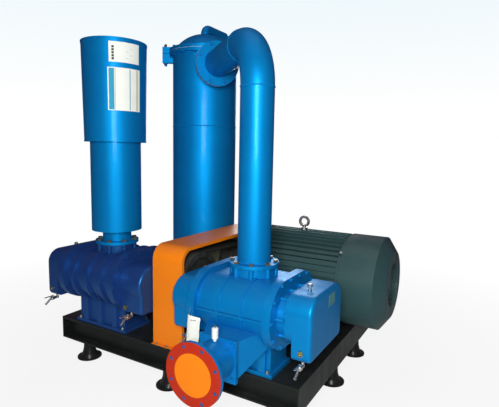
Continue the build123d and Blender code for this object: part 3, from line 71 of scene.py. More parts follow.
class Graph:
    """Thin wrapper that adds and links nodes in a shader or geometry tree."""

    def __init__(self, tree: bpy.types.NodeTree) -> None:
        """Wrap a tree and empty it.

        Args:
            tree: the node tree to fill.
        """
        self.tree = tree
        self.tree.nodes.clear()

    def add(self, kind: str, values: dict[str | int, object] | None = None,
            **settings: object) -> bpy.types.Node:
        """Add a node.

        Args:
            kind: the node's bl_idname.
            values: input names or places, each with a constant or a socket to link from.
            settings: properties of the node itself.

        Returns:
            The new node.
        """
        node = self.tree.nodes.new(kind)
        for key, value in settings.items():
            setattr(node, key, value)
        for key, value in (values or {}).items():
            self.feed(node.inputs[key], value)
        return node

    def feed(self, socket: bpy.types.NodeSocket, value: object) -> None:
        """Set a socket's value, or link it if the value is itself a socket.

        Args:
            socket: the input to feed.
            value: a constant or an output socket.
        """
        if isinstance(value, bpy.types.NodeSocket):
            self.tree.links.new(value, socket)
        else:
            socket.default_value = value

    def math(self, operation: str, first: object, second: object = 0.0,
             clamp: bool = False) -> bpy.types.NodeSocket:
        """Add a Math node in either kind of tree.

        Args:
            operation: the Math node's operation.
            first: first operand.
            second: second operand.
            clamp: whether the result stays between 0 and 1.

        Returns:
            The result socket.
        """
        node = self.add("ShaderNodeMath", {0: first, 1: second}, operation=operation, use_clamp=clamp)
        return node.outputs[0]

    def vector_math(self, operation: str, values: dict[str | int, object]) -> bpy.types.Node:
        """Add a Vector Math node."""
        return self.add("ShaderNodeVectorMath", values, operation=operation)

    def noise(self, place: object, scale: object, detail: float, rough: float = 0.5) -> bpy.types.NodeSocket:
        """Add a Noise Texture.

        Args:
            place: coordinates it reads.
            scale: its scale.
            detail: its octaves.
            rough: share of the finer octaves.

        Returns:
            Its value.
        """
        values = {"Vector": place, "Scale": scale, "Detail": detail, "Roughness": rough}
        return self.add("ShaderNodeTexNoise", values).outputs[0]

    def spread(self, value: object, low: float, high: float, least: float = 0.0,
               most: float = 1.0) -> bpy.types.NodeSocket:
        """Map a range of values onto another.

        Args:
            value: the value to map.
            low: value that becomes the least.
            high: value that becomes the most.
            least: lower end of the result.
            most: upper end of the result.

        Returns:
            The mapped value.
        """
        values = {0: value, 1: low, 2: high, 3: least, 4: most}
        return self.add("ShaderNodeMapRange", values).outputs[0]

    def mix(self, share: object, first: object, second: object) -> bpy.types.NodeSocket:
        """Mix two colours.

        Args:
            share: share of the second colour.
            first: a colour or a socket.
            second: a colour or a socket.

        Returns:
            The mixed colour.
        """
        values = {0: share, 6: opaque(first), 7: opaque(second)}
        return self.add("ShaderNodeMix", values, data_type="RGBA").outputs[2]

    def group(self, tree: bpy.types.NodeTree, values: dict[str, object]) -> bpy.types.Node:
        """Place a shared node group."""
        return self.add("ShaderNodeGroup", values, node_tree=tree)

    def bump(self, strength: float, distance: float, height: bpy.types.NodeSocket) -> bpy.types.NodeSocket:
        """Turn a height into a normal."""
        values = {"Strength": strength, "Distance": distance, "Height": height}
        return self.add("ShaderNodeBump", values).outputs[0]

    def principled(self, values: dict[str, object]) -> None:
        """End a material in a Principled BSDF."""
        self.end("ShaderNodeOutputMaterial", self.add("ShaderNodeBsdfPrincipled", values))

    def end(self, kind: str, shader: bpy.types.Node) -> None:
        """End the tree in an output node.

        Args:
            kind: the output's bl_idname.
            shader: the shader it shows.
        """
        self.feed(self.add(kind).inputs["Surface"], shader.outputs[0])


def new_material(name: str) -> tuple[bpy.types.Material, Graph, bpy.types.NodeSocket]:
    """Start a node material.

    Args:
        name: the material's name.

    Returns:
        The material, its graph and the place in the shared frame.
    """
    made = bpy.data.materials.new(name)
    made.use_nodes = True
    graph = Graph(made.node_tree)
    return made, graph, graph.add("ShaderNodeTexCoord").outputs["Object"]


def new_group(name: str, inputs: Sequence[tuple[str, str, object]],
              outputs: Sequence[str]) -> tuple[Graph, bpy.types.NodeOutputs, bpy.types.NodeInputs]:
    """Make a shader node group with named sockets.

    Args:
        name: the group's name.
        inputs: name, socket type and default of each input.
        outputs: name of each value that it puts out.

    Returns:
        The graph, what comes in and what goes out.
    """
    tree = bpy.data.node_groups.new(name, "ShaderNodeTree")
    for label, kind, default in inputs:
        socket = tree.interface.new_socket(label, in_out="INPUT", socket_type=kind)
        if default is not None:
            socket.default_value = default
    for label in outputs:
        tree.interface.new_socket(label, in_out="OUTPUT", socket_type=FLOAT)
    graph = Graph(tree)
    return graph, graph.add("NodeGroupInput").outputs, graph.add("NodeGroupOutput").inputs


# ---- shared shader effects ---------------------------------------------------
class Effects:
    """Shader node groups that more than one finish uses, each built once."""

    def __init__(self) -> None:
        """Build every group."""
        self.grain = self._grain()
        self.dust = self._dust()
        self.scuffs = self._scuffs()
        self.tone = self._tone()
        self.zone = self._zone()

    @staticmethod
    def _grain() -> bpy.types.NodeTree:
        """Surface relief: a coarse swell and a fine pebble, as one height.

        Returns:
            The group.
        """
        graph, given, out = new_group(
            "surface_grain",
            [("Vector", VECTOR, None), ("Fine Scale", FLOAT, 400.0), ("Coarse Scale", FLOAT, 20.0),
             ("Coarse Share", FLOAT, 0.4)],
            ["Height"])
        fine = graph.noise(given["Vector"], given["Fine Scale"], 4.0)
        coarse = graph.noise(given["Vector"], given["Coarse Scale"], 3.0)
        both = graph.add("ShaderNodeMix", {0: given["Coarse Share"], 2: fine, 3: coarse})
        graph.feed(out["Height"], both.outputs[0])
        return graph.tree

    @staticmethod
    def _dust() -> bpy.types.NodeTree:
        """Mask of settled dust: thick on what faces up, patchy, with a faint veil elsewhere.

        Returns:
            The group.
        """
        graph, given, out = new_group(
            "settled_dust",
            [("Vector", VECTOR, None), ("Scale", FLOAT, 9.0), ("Amount", FLOAT, 0.3)],
            ["Mask"])
        normal = graph.add("ShaderNodeNewGeometry").outputs["Normal"]
        upward = graph.add("ShaderNodeSeparateXYZ", {0: normal}).outputs["Z"]
        flat = graph.spread(upward, 0.35, 1.0, 0.10, 1.0)
        patches = graph.spread(graph.noise(given["Vector"], given["Scale"], 6.0, 0.65), 0.35, 0.75, 0.25, 1.0)
        both = graph.math("MULTIPLY", flat, patches)
        graph.feed(out["Mask"], graph.math("MULTIPLY", both, given["Amount"], clamp=True))
        return graph.tree

    @staticmethod
    def _scuffs() -> bpy.types.NodeTree:
        """Mask of small rubbed spots and chips.

        Returns:
            The group.
        """
        graph, given, out = new_group(
            "rubbed_spots",
            [("Vector", VECTOR, None), ("Scale", FLOAT, 30.0), ("Amount", FLOAT, 0.2)],
            ["Mask"])
        cells = graph.add("ShaderNodeTexVoronoi", {"Vector": given["Vector"], "Scale": given["Scale"]})
        reach = graph.math("MULTIPLY", given["Amount"], 0.35)
        spot = graph.math("LESS_THAN", cells.outputs["Distance"], reach)
        area = graph.spread(graph.noise(given["Vector"], 6.0, 5.0), 0.52, 0.62)
        graph.feed(out["Mask"], graph.math("MULTIPLY", spot, area, clamp=True))
        return graph.tree

    @staticmethod
    def _tone() -> bpy.types.NodeTree:
        """Slow variation of colour and gloss from place to place.

        Returns:
            The group.
        """
        graph, given, out = new_group(
            "slow_tone", [("Vector", VECTOR, None), ("Scale", FLOAT, 3.0)], ["Tone", "Streak"])
        tall = graph.add("ShaderNodeMapping", {"Vector": given["Vector"], "Scale": (18.0, 18.0, 1.2)})
        graph.feed(out["Tone"], graph.noise(given["Vector"], given["Scale"], 3.0))
        graph.feed(out["Streak"], graph.noise(tall.outputs[0], 1.0, 4.0))
        return graph.tree

    @staticmethod
    def _zone() -> bpy.types.NodeTree:
        """Mask of a box-shaped zone, or of the faces in it that look inwards.

        Returns:
            The group.
        """
        graph, given, out = new_group(
            "second_colour_zone",
            [("Vector", VECTOR, None), ("Low", VECTOR, None), ("High", VECTOR, None),
             ("Inward Only", FLOAT, 0.0)],
            ["Mask"])
        low, high = given["Low"], given["High"]
        total = graph.vector_math("ADD", {0: high, 1: low}).outputs[0]
        middle = graph.vector_math("SCALE", {0: total, "Scale": 0.5}).outputs[0]
        arm = graph.vector_math("SUBTRACT", {0: given["Vector"], 1: middle}).outputs[0]
        normal = graph.add("ShaderNodeNewGeometry").outputs["True Normal"]
        facing = graph.vector_math("DOT_PRODUCT", {0: arm, 1: normal}).outputs["Value"]
        inward = graph.math("LESS_THAN", facing, 0.0)
        outward_too = graph.math("SUBTRACT", 1.0, given["Inward Only"])
        mask = graph.math("MAXIMUM", inward, outward_too)
        spot, least, most = (graph.add("ShaderNodeSeparateXYZ", {0: place}).outputs
                             for place in (given["Vector"], low, high))
        for axis in "XYZ":
            above = graph.math("GREATER_THAN", spot[axis], least[axis])
            below = graph.math("LESS_THAN", spot[axis], most[axis])
            mask = graph.math("MULTIPLY", mask, graph.math("MULTIPLY", above, below))
        graph.feed(out["Mask"], mask)
        return graph.tree


# ---- finishes ----------------------------------------------------------------
@dataclass(frozen=True)
class Zone:
    """Box in the shared frame where a painted node has a second colour."""

    low: tuple[float, float, float]
    high: tuple[float, float, float]
    colour: Colour
    inward_only: bool = False


class Sheen(Enum):
    """How a finish takes the light, as its coat's weight and roughness."""

    GLOSS = (0.05, 0.12)
    SATIN = (0.06, 0.26)


@dataclass(frozen=True)
class Paint:
    """Sprayed paint over casting, plate or sheet."""

    name: str
    colour: Colour
    shade: Colour
    slot: str
    sheen: Sheen = Sheen.GLOSS
    rough: float = 0.34
    grain_scale: float = 500.0
    swell_scale: float = 16.0
    relief: float = 0.0006
    swell: float = 0.35
    dust: float = 0.16
    dust_colour: Colour = (0.30, 0.29, 0.27)
    chips: float = 0.15
    chip_colour: Colour = (0.10, 0.11, 0.12)
    metallic: float = 0.0
    specular: float = 0.22
    glint: Colour = WHITE
    zone: Zone | None = None

    def material(self, effects: Effects) -> bpy.types.Material:
        """Build the node material.

        Args:
            effects: the shared node groups.

        Returns:
            The material.
        """
        made, graph, place = new_material(self.name)
        tone = graph.group(effects.tone, {"Vector": place}).outputs
        dust = graph.group(effects.dust, {"Vector": place, "Amount": self.dust}).outputs["Mask"]
        chips = graph.group(effects.scuffs, {"Vector": place, "Amount": self.chips}).outputs["Mask"]
        grain = graph.group(effects.grain, {"Vector": place, "Fine Scale": self.grain_scale,
                                            "Coarse Scale": self.swell_scale, "Coarse Share": self.swell})
        paint = graph.mix(tone["Tone"], self.shade, self.colour)
        if self.zone:
            zone = graph.group(effects.zone, {"Vector": place, "Low": self.zone.low, "High": self.zone.high,
                                              "Inward Only": float(self.zone.inward_only)})
            paint = graph.mix(zone.outputs["Mask"], paint, self.zone.colour)
        dusted = graph.mix(dust, graph.mix(chips, paint, self.chip_colour), self.dust_colour)
        uneven = graph.spread(tone["Streak"], 0.3, 0.7, self.rough - 0.05, self.rough + 0.07)
        coat, coat_rough = self.sheen.value
        graph.principled({
            "Base Color": dusted, "Metallic": self.metallic,
            "Coat Weight": coat, "Coat Roughness": coat_rough,
            "Roughness": graph.math("ADD", uneven, graph.math("MULTIPLY", dust, 0.5), clamp=True),
            "Normal": graph.bump(0.6, self.relief, grain.outputs["Height"]),
            "Specular IOR Level": self.specular, "Specular Tint": opaque(self.glint)})
        return made


@dataclass(frozen=True)
class Metal:
    """Bare or plated metal with tool marks and a little tarnish."""

    name: str
    colour: Colour
    tarnish: Colour
    slot: str
    rough: float = 0.3
    metallic: float = 1.0
    stretch: tuple[float, float, float] = (1.0, 1.0, 1.0)
    mark_scale: float = 260.0
    relief: float = 0.0003
    dust: float = 0.12

    def material(self, effects: Effects) -> bpy.types.Material:
        """Build the node material.

        Args:
            effects: the shared node groups.

        Returns:
            The material.
        """
        made, graph, place = new_material(self.name)
        drawn = graph.add("ShaderNodeMapping", {"Vector": place, "Scale": self.stretch}).outputs[0]
        marks = graph.noise(drawn, self.mark_scale, 5.0)
        stain = graph.spread(graph.noise(place, 14.0, 5.0), 0.42, 0.72)
        dust = graph.group(effects.dust, {"Vector": place, "Amount": self.dust}).outputs["Mask"]
        uneven = graph.spread(marks, 0.3, 0.7, self.rough - 0.08, self.rough + 0.12)
        graph.principled({
            "Base Color": graph.mix(stain, self.colour, self.tarnish), "Metallic": self.metallic,
            "Roughness": graph.math("ADD", uneven, dust, clamp=True),
            "Normal": graph.bump(0.5, self.relief, marks)})
        return made


@dataclass(frozen=True)
class Soft:
    """Rubber, fibre, card or plastic: no metal, a fine tooth and slight mottling."""

    name: str
    colour: Colour
    shade: Colour
    slot: str
    rough: float = 0.6
    mottle_scale: float = 12.0
    tooth_scale: float = 700.0
    relief: float = 0.0003
    dust: float = 0.2
    dust_colour: Colour = (0.33, 0.32, 0.30)
    specular: float = 0.2

    def material(self, effects: Effects) -> bpy.types.Material:
        """Build the node material.

        Args:
            effects: the shared node groups.

        Returns:
            The material.
        """
        made, graph, place = new_material(self.name)
        tone = graph.group(effects.tone, {"Vector": place, "Scale": self.mottle_scale}).outputs["Tone"]
        tooth = graph.group(effects.grain, {"Vector": place, "Fine Scale": self.tooth_scale})
        grain = tooth.outputs["Height"]
        dust = graph.group(effects.dust, {"Vector": place, "Amount": self.dust}).outputs["Mask"]
        graph.principled({
            "Base Color": graph.mix(dust, graph.mix(tone, self.shade, self.colour), self.dust_colour),
            "Roughness": graph.spread(grain, 0.3, 0.7, self.rough - 0.06, self.rough + 0.08),
            "Normal": graph.bump(0.5, self.relief, grain), "Specular IOR Level": self.specular})
        return made


Finish = Paint | Metal | Soft

BLUE_GLINT = (0.0, 0.75, 1.0)
BLOWER_BLUE = Paint("blower_enamel", (0.002, 0.195, 0.520), (0.002, 0.140, 0.430), "blower_blue", rough=0.42,
                    relief=0.0010, grain_scale=240.0, swell=0.45, dust=0.04, metallic=0.35, specular=0.6,
                    glint=BLUE_GLINT)
STAGE2_BLUE = Paint("second_stage_enamel", (0.016, 0.056, 0.240), (0.013, 0.040, 0.185), "stage2_blue",
                    rough=0.36, relief=0.0010, grain_scale=240.0, swell=0.45, dust=0.04, metallic=0.35,
                    specular=0.8, glint=BLUE_GLINT)
PIPE_BLUE = Paint("pipe_enamel", (0.002, 0.205, 0.540), (0.002, 0.155, 0.460), "pipe_blue", rough=0.50,
                  relief=0.0005, dust=0.04, metallic=0.45, specular=0.6, glint=BLUE_GLINT)
VESSEL_BLUE = Paint("vessel_enamel", (0.002, 0.250, 0.640), (0.002, 0.170, 0.520), "pipe_blue", rough=0.52,
                    relief=0.0006, dust=0.04, metallic=0.55, specular=0.6, glint=BLUE_GLINT)
GUARD_ORANGE = Paint("guard_enamel", (0.800, 0.200, 0.004), (0.740, 0.170, 0.004), "guard_orange",
                     sheen=Sheen.SATIN, rough=0.42, relief=0.0004, dust=0.06)
SKID_BLACK = Paint("skid_enamel", (0.008, 0.010, 0.010), (0.005, 0.007, 0.007), "skid_paint",
                   sheen=Sheen.SATIN, rough=0.42, relief=0.0009, dust=0.06, chips=0.25)
MOTOR_TEAL = Paint("motor_enamel", (0.026, 0.068, 0.078), (0.019, 0.052, 0.060), "motor_teal",
                   sheen=Sheen.SATIN, rough=0.42, relief=0.0008, grain_scale=300.0)
BOLT_FINISH = Paint("passivated_bolts", (0.170, 0.125, 0.050), (0.110, 0.085, 0.040), "brass", rough=0.34,
                    relief=0.0003, metallic=0.55, dust=0.10)
# darker olive: painted shade for the inside of the belt guard
GUARD_SHADE_OLIVE = (0.190, 0.200, 0.140)
VALVE_WHITE = Paint("valve_enamel", (0.72, 0.74, 0.76), (0.62, 0.64, 0.67), "valve_white", rough=0.3,
                    dust=0.05)
ZINC = Metal("zinc_plate", (0.62, 0.62, 0.60), (0.42, 0.41, 0.38), "zinc", rough=0.32)
STEEL = Metal("turned_steel", (0.56, 0.57, 0.58), (0.40, 0.40, 0.40), "steel", rough=0.28,
              stretch=(6.0, 1.0, 1.0))
IRON = Metal("machined_iron", (0.13, 0.13, 0.135), (0.07, 0.065, 0.06), "iron", rough=0.42, metallic=0.8)
BRASS = Metal("brass_fittings", (0.42, 0.36, 0.18), (0.20, 0.17, 0.09), "brass", rough=0.30)
ALLOY = Metal("cast_alloy", (0.60, 0.61, 0.62), (0.48, 0.48, 0.48), "alloy", rough=0.45)
FOOT_RUBBER = Soft("foot_rubber", (0.012, 0.013, 0.014), (0.008, 0.008, 0.009), "foot_rubber", rough=0.30,
                   dust=0.10)
BELT_RUBBER = Soft("belt_rubber", (0.018, 0.018, 0.018), (0.010, 0.010, 0.010), "belt_rubber", rough=0.7)
RING_RED = Soft("full_face_ring", (0.390, 0.018, 0.003), (0.340, 0.014, 0.002), "gasket_red", rough=0.5,
                dust=0.05)
FIBRE = Soft("gasket_fibre", (0.62, 0.68, 0.70), (0.50, 0.56, 0.58), "gasket_pale", rough=0.8)
COVER_ORANGE = Soft("transport_cover", (0.720, 0.180, 0.001), (0.680, 0.160, 0.001), "cover_orange",
                    rough=0.45, dust=0.04)
CARD = Soft("white_card", (0.80, 0.80, 0.79), (0.72, 0.72, 0.71), "tag_card", rough=0.8, dust=0.02)
INK = Soft("dark_print", (0.05, 0.05, 0.06), (0.03, 0.03, 0.04), "tag_card", rough=0.7, dust=0.0)
STRIPE_BLUE = Soft("blue_stripe", (0.02, 0.30, 0.50), (0.02, 0.26, 0.45), "tag_card", rough=0.6, dust=0.0)
STRIPE_SAND = Soft("sand_stripe", (0.55, 0.50, 0.33), (0.50, 0.45, 0.30), "tag_card", rough=0.6, dust=0.0)
MARK_GREY = Soft("grey_marks", (0.42, 0.46, 0.50), (0.38, 0.42, 0.46), "tag_card", rough=0.6, dust=0.0)
PLATE_GREEN = Soft("blank_plate", (0.080, 0.230, 0.260), (0.060, 0.190, 0.220), "tag_card", rough=0.45,
                   dust=0.05)


def add_object(name: str, data: bpy.types.ID) -> bpy.types.Object:
    """Put a new object into the scene.

    Args:
        name: the object's name.
        data: its mesh, lamp or camera.

    Returns:
        The object.
    """
    made = bpy.data.objects.new(name, data)
    bpy.context.scene.collection.objects.link(made)
    return made


class Workshop:
    """Keeps each finish's material and turns meshes into dressed pieces."""

    def __init__(self) -> None:
        """Start with the shared effects and no materials."""
        self.effects = Effects()
        self.materials: dict[str, bpy.types.Material] = {}

    def material(self, finish: Finish) -> bpy.types.Material:
        """Material of a finish, built on first use.

        Args:
            finish: the finish wanted.

        Returns:
            Its material.
        """
        if finish.name not in self.materials:
            self.materials[finish.name] = finish.material(self.effects)
        return self.materials[finish.name]

    def dress(self, node: str, finish: Finish) -> None:
        """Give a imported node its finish.

        Args:
            node: the node's name.
            finish: the finish it takes.
        """
        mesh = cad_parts[node].data
        mesh.materials.clear()
        mesh.materials.append(self.material(finish))
        LOG.info("dressed %s in %s", node, finish.name)

    def piece(self, name: str, mesh: bpy.types.Mesh, finish: Finish, body: str = ROOT) -> bpy.types.Object:
        """Turn a finished mesh into a piece that rides on a body.

        Args:
            name: the piece's name.
            mesh: its mesh, already in place.
            finish: the finish it takes.
            body: the body it moves with.

        Returns:
            The new object.
        """
        mesh.materials.clear()
        mesh.materials.append(self.material(finish))
        made = add_object(name, mesh)
        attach(made, body)
        LOG.info("made %s with %d faces on %s", name, len(mesh.polygons), body)
        return made


# ---- geometry trees ----------------------------------------------------------
class GeometryTree(Graph):
    """A Geometry Nodes tree with named inputs that ends in Realize Instances and Set Material."""

    def __init__(self, name: str, inputs: Sequence[tuple[str, str, object]]) -> None:
        """Make the tree and its sockets.

        Args:
            name: the tree's name.
            inputs: name, socket type and default of each named input.
        """
        tree = bpy.data.node_groups.new(name, "GeometryNodeTree")
        tree.interface.new_socket("Geometry", in_out="INPUT", socket_type="NodeSocketGeometry")
        self.sockets: dict[str, str] = {}
        for label, kind, default in (*inputs, ("Material", "NodeSocketMaterial", None)):
            socket = tree.interface.new_socket(label, in_out="INPUT", socket_type=kind)
            if default is not None:
                socket.default_value = default
            self.sockets[label] = socket.identifier
        tree.interface.new_socket("Geometry", in_out="OUTPUT", socket_type="NodeSocketGeometry")
        super().__init__(tree)
        self.source = self.add("NodeGroupInput")
        self.sink = self.add("NodeGroupOutput")

    def value(self, label: str) -> bpy.types.NodeSocket:
        """Socket that carries a named input."""
        return self.source.outputs[label]

    def close(self, geometry: bpy.types.NodeSocket) -> None:
        """Realize what was built, give it the material and end the tree.

        Args:
            geometry: the geometry to put out.
        """
        real = self.add("GeometryNodeRealizeInstances", {"Geometry": geometry})
        dressed = self.add("GeometryNodeSetMaterial", {"Geometry": real.outputs[0],
                                                       "Material": self.value("Material")})
        self.feed(self.sink.inputs[0], dressed.outputs[0])

    def run(self, seed_mesh: bpy.types.Mesh, material: bpy.types.Material,
            **values: object) -> bpy.types.Mesh:
        """Evaluate the tree on a mesh and return the result as a plain mesh.

        Args:
            seed_mesh: mesh whose points the tree works on.
            material: material of the result.
            values: named inputs, with underscores for spaces.

        Returns:
            The evaluated mesh.
        """
        holder = add_object("holder", seed_mesh)
        modifier = holder.modifiers.new("tree", "NODES")
        modifier.node_group = self.tree
        modifier[self.sockets["Material"]] = material
        for label, value in values.items():
            modifier[self.sockets[label.replace("_", " ")]] = value
        graph = bpy.context.evaluated_depsgraph_get()
        mesh = bpy.data.meshes.new_from_object(holder.evaluated_get(graph))
        holder.modifiers.clear()
        bpy.data.objects.remove(holder)
        return mesh


def point_cloud(spots: Iterable[Spot]) -> bpy.types.Mesh:
    """Mesh of loose points, each with the heading that a fastener takes there.

    Args:
        spots: place and heading of each point.

    Returns:
        The mesh, with an "axis" attribute.
    """
    spots = list(spots)
    mesh = bpy.data.meshes.new("spots")
    mesh.from_pydata([tuple(place) for place, _ in spots], [], [])
    axis = mesh.attributes.new("axis", "FLOAT_VECTOR", "POINT")
    axis.data.foreach_set("vector", [c for _, heading in spots for c in heading])
    return mesh


class BoltTree(GeometryTree):
    """Hexagon screw or nut on a washer at every point, with a stud end above it."""

    def __init__(self) -> None:
        """Build the tree."""
        super().__init__("bolt_set", [("Flat Radius", FLOAT, 0.012), ("Head Height", FLOAT, 0.010),
                                      ("Washer Radius", FLOAT, 0.015), ("Washer Height", FLOAT, 0.002),
                                      ("Stud Radius", FLOAT, 0.006), ("Stud Rise", FLOAT, 0.004)])
        flat, under = self.value("Flat Radius"), self.value("Washer Height")
        washer = self._disc(16, self.value("Washer Radius"), under, 0.0)
        head = self._disc(6, flat, self.value("Head Height"), under)
        base = self.math("ADD", under, self.value("Head Height"))
        stud = self._disc(12, self.value("Stud Radius"), self.value("Stud Rise"), base)
        crown = self.add("GeometryNodeMeshCone", {"Vertices": 6, "Radius Bottom": flat,
                                                  "Radius Top": self.math("MULTIPLY", flat, 0.82),
                                                  "Depth": 0.0012})
        lifted = self._lift(crown.outputs["Mesh"], base)
        joined = self.add("GeometryNodeJoinGeometry")
        for part in (washer, head, stud, lifted):
            self.tree.links.new(part, joined.inputs[0])
        axis = self.add("GeometryNodeInputNamedAttribute", {"Name": "axis"}, data_type="FLOAT_VECTOR")
        turned = self.add("FunctionNodeAlignRotationToVector", {"Vector": axis.outputs[0]}, axis="Z")
        placed = self.add("GeometryNodeInstanceOnPoints", {"Points": self.value("Geometry"),
                                                           "Instance": joined.outputs[0],
                                                           "Rotation": turned.outputs[0]})
        self.close(placed.outputs[0])

    def _lift(self, mesh: bpy.types.NodeSocket, height: object) -> bpy.types.NodeSocket:
        """Raise a mesh along Z by a height."""
        offset = self.add("ShaderNodeCombineXYZ", {2: height})
        moved = self.add("GeometryNodeTransform", {"Geometry": mesh, "Translation": offset.outputs[0]})
        return moved.outputs[0]

    def _disc(self, sides: int, radius: bpy.types.NodeSocket, height: bpy.types.NodeSocket,
              base: object) -> bpy.types.NodeSocket:
        """Prism that stands on a base height.

        Args:
            sides: number of sides.
            radius: radius of the corners.
            height: height of the prism.
            base: height that it stands on.

        Returns:
            The mesh socket.
        """
        body = self.add("GeometryNodeMeshCylinder", {"Vertices": sides, "Radius": radius, "Depth": height})
        middle = self.math("ADD", base, self.math("MULTIPLY", height, 0.5))
        return self._lift(body.outputs["Mesh"], middle)


class BeadTree(GeometryTree):
    """Weld bead: overlapping ripples along a circle."""

    def __init__(self) -> None:
        """Build the tree."""
        super().__init__("weld_bead", [("Ring Radius", FLOAT, 0.1), ("Bead", FLOAT, 0.004),
                                       ("Count", WHOLE, 120), ("Seed", WHOLE, 3)])
        ring = self.add("GeometryNodeCurvePrimitiveCircle", {"Resolution": 128,
                                                             "Radius": self.value("Ring Radius")})
        points = self.add("GeometryNodeCurveToPoints", {"Curve": ring.outputs[0],
                                                        "Count": self.value("Count")})
        ripple = self.add("GeometryNodeMeshIcoSphere", {"Radius": self.value("Bead"), "Subdivisions": 2})
        size = self.add("FunctionNodeRandomValue", data_type="FLOAT")
        settings = {"Min_001": 0.85, "Max_001": 1.12, "Seed": self.value("Seed")}
        for socket in size.inputs:
            if socket.identifier in settings:
                self.feed(socket, settings[socket.identifier])
        scale = next(s for s in size.outputs if s.enabled)
        placed = self.add("GeometryNodeInstanceOnPoints", {"Points": points.outputs[0],
                                                           "Instance": ripple.outputs["Mesh"],
                                                           "Scale": scale})
        self.close(placed.outputs[0])


class GrilleTree(GeometryTree):
    """Round wire guard: rings at an even pitch, tied by spokes."""

    def __init__(self) -> None:
        """Build the tree."""
        super().__init__("wire_guard", [("Inner Radius", FLOAT, 0.03), ("Pitch", FLOAT, 0.012),
                                        ("Rings", WHOLE, 8), ("Wire", FLOAT, 0.002), ("Spokes", WHOLE, 6),
                                        ("Reach", FLOAT, 0.15)])
        wire = self.value("Wire")
        line = self.add("GeometryNodeMeshLine", {"Count": self.value("Rings"), "Offset": (0.0, 0.0, 0.0)})
        order = self.add("GeometryNodeInputIndex").outputs[0]
        step = self.math("MULTIPLY", order, self.value("Pitch"))
        radius = self.math("ADD", self.value("Inner Radius"), step)
        circle = self.add("GeometryNodeCurvePrimitiveCircle", {"Resolution": 64, "Radius": 1.0})
        rings = self.add("GeometryNodeInstanceOnPoints", {"Points": line.outputs[0],
                                                          "Instance": circle.outputs[0], "Scale": radius})
        wires = self.add("GeometryNodeRealizeInstances", {"Geometry": rings.outputs[0]})
        section = self.add("GeometryNodeCurvePrimitiveCircle", {"Resolution": 8, "Radius": wire})
        tubes = self.add("GeometryNodeCurveToMesh", {"Curve": wires.outputs[0],
                                                     "Profile Curve": section.outputs[0]})
        hub = self.add("GeometryNodeMeshLine", {"Count": self.value("Spokes"), "Offset": (0.0, 0.0, 0.0)})
        angle = self.math("DIVIDE", math.pi, self.value("Spokes"))
        turn = self.add("ShaderNodeCombineXYZ", {2: self.math("MULTIPLY", order, angle)})
        length = self.math("MULTIPLY", self.value("Reach"), 2.0)
        size = self.add("ShaderNodeCombineXYZ", {0: length, 1: self.math("MULTIPLY", wire, 2.4), 2: wire})
        bar = self.add("GeometryNodeMeshCube", {"Size": size.outputs[0]})
        spokes = self.add("GeometryNodeInstanceOnPoints", {"Points": hub.outputs[0],
                                                           "Instance": bar.outputs["Mesh"],
                                                           "Rotation": turn.outputs[0]})
        joined = self.add("GeometryNodeJoinGeometry")
        self.tree.links.new(tubes.outputs[0], joined.inputs[0])
        self.tree.links.new(spokes.outputs[0], joined.inputs[0])
        self.close(joined.outputs[0])


def mesh_from(build: Callable[[bmesh.types.BMesh], None], name: str, smooth: bool = False) -> bpy.types.Mesh:
    """Make a mesh with a bmesh routine, with its normals facing out.

    Args:
        build: routine that fills the bmesh.
        name: the mesh's name.
        smooth: whether its faces are shaded smooth.

    Returns:
        The mesh.
    """
    work = bmesh.new()
    build(work)
    bmesh.ops.remove_doubles(work, verts=work.verts, dist=MERGE)
    bmesh.ops.recalc_face_normals(work, faces=work.faces)
    for face in work.faces:
        face.smooth = smooth
    mesh = bpy.data.meshes.new(name)
    work.to_mesh(mesh)
    work.free()
    return mesh


def facing(place: Vector, heading: Vector) -> Matrix:
    """Turn that takes +Z to a heading, then the move to a place.

    Args:
        place: where the origin goes.
        heading: where +Z points.

    Returns:
        The matrix.
    """
    return Matrix.Translation(place) @ heading.to_track_quat("Z", "Y").to_matrix().to_4x4()


def turned_mesh(outline: Sequence[tuple[float, float]], start: Vector, heading: Vector,
                sides: int) -> bpy.types.Mesh:
    """Closed turned shape.

    Args:
        outline: (distance along the axis, radius) points, closed through the axis or back to the first point.
        start: the axis's start.
        heading: the axis's direction.
        sides: number of steps round.

    Returns:
        The mesh, in place.
    """
    def build(work: bmesh.types.BMesh) -> None:
        """Spin the outline round Z and turn it to the heading."""
        rings = []
        for step in range(sides):
            angle = 2 * math.pi * step / sides
            across, up = math.cos(angle), math.sin(angle)
            rings.append([work.verts.new((r * across, r * up, z)) for z, r in outline])
        count = len(outline)
        for step in range(sides):
            near, far = rings[step], rings[(step + 1) % sides]
            for i in range(count):
                k = (i + 1) % count
                if max(outline[i][1], outline[k][1]) >= MERGE:
                    work.faces.new([near[i], near[k], far[k], far[i]])
        bmesh.ops.transform(work, matrix=facing(start, heading), verts=work.verts)
    mesh = mesh_from(build, "turned", smooth=True)
    mesh.set_sharp_from_angle(angle=math.radians(35))
    return mesh


def slab_mesh(corners: Sequence[Vector], depth: Vector, name: str) -> bpy.types.Mesh:
    """Flat plate from its outline and its thickness.

    Args:
        corners: outline points in order.
        depth: vector from the outline to the far face.
        name: the mesh's name.

    Returns:
        The mesh, in place.
    """
    def build(work: bmesh.types.BMesh) -> None:
        """Extrude the outline along the depth."""
        face = work.faces.new([work.verts.new(c) for c in corners])
        made = bmesh.ops.extrude_face_region(work, geom=[face])
        moved = [g for g in made["geom"] if isinstance(g, bmesh.types.BMVert)]
        bmesh.ops.translate(work, verts=moved, vec=depth)
    return mesh_from(build, name)


def joined_mesh(parts: Sequence[bpy.types.Mesh], name: str) -> bpy.types.Mesh:
    """Join meshes into one.

    Args:
        parts: meshes, all in place.
        name: the new mesh's name.

    Returns:
        The joined mesh.
    """
    work = bmesh.new()
    for part in parts:
        work.from_mesh(part)
    mesh = bpy.data.meshes.new(name)
    work.to_mesh(mesh)
    work.free()
    return mesh


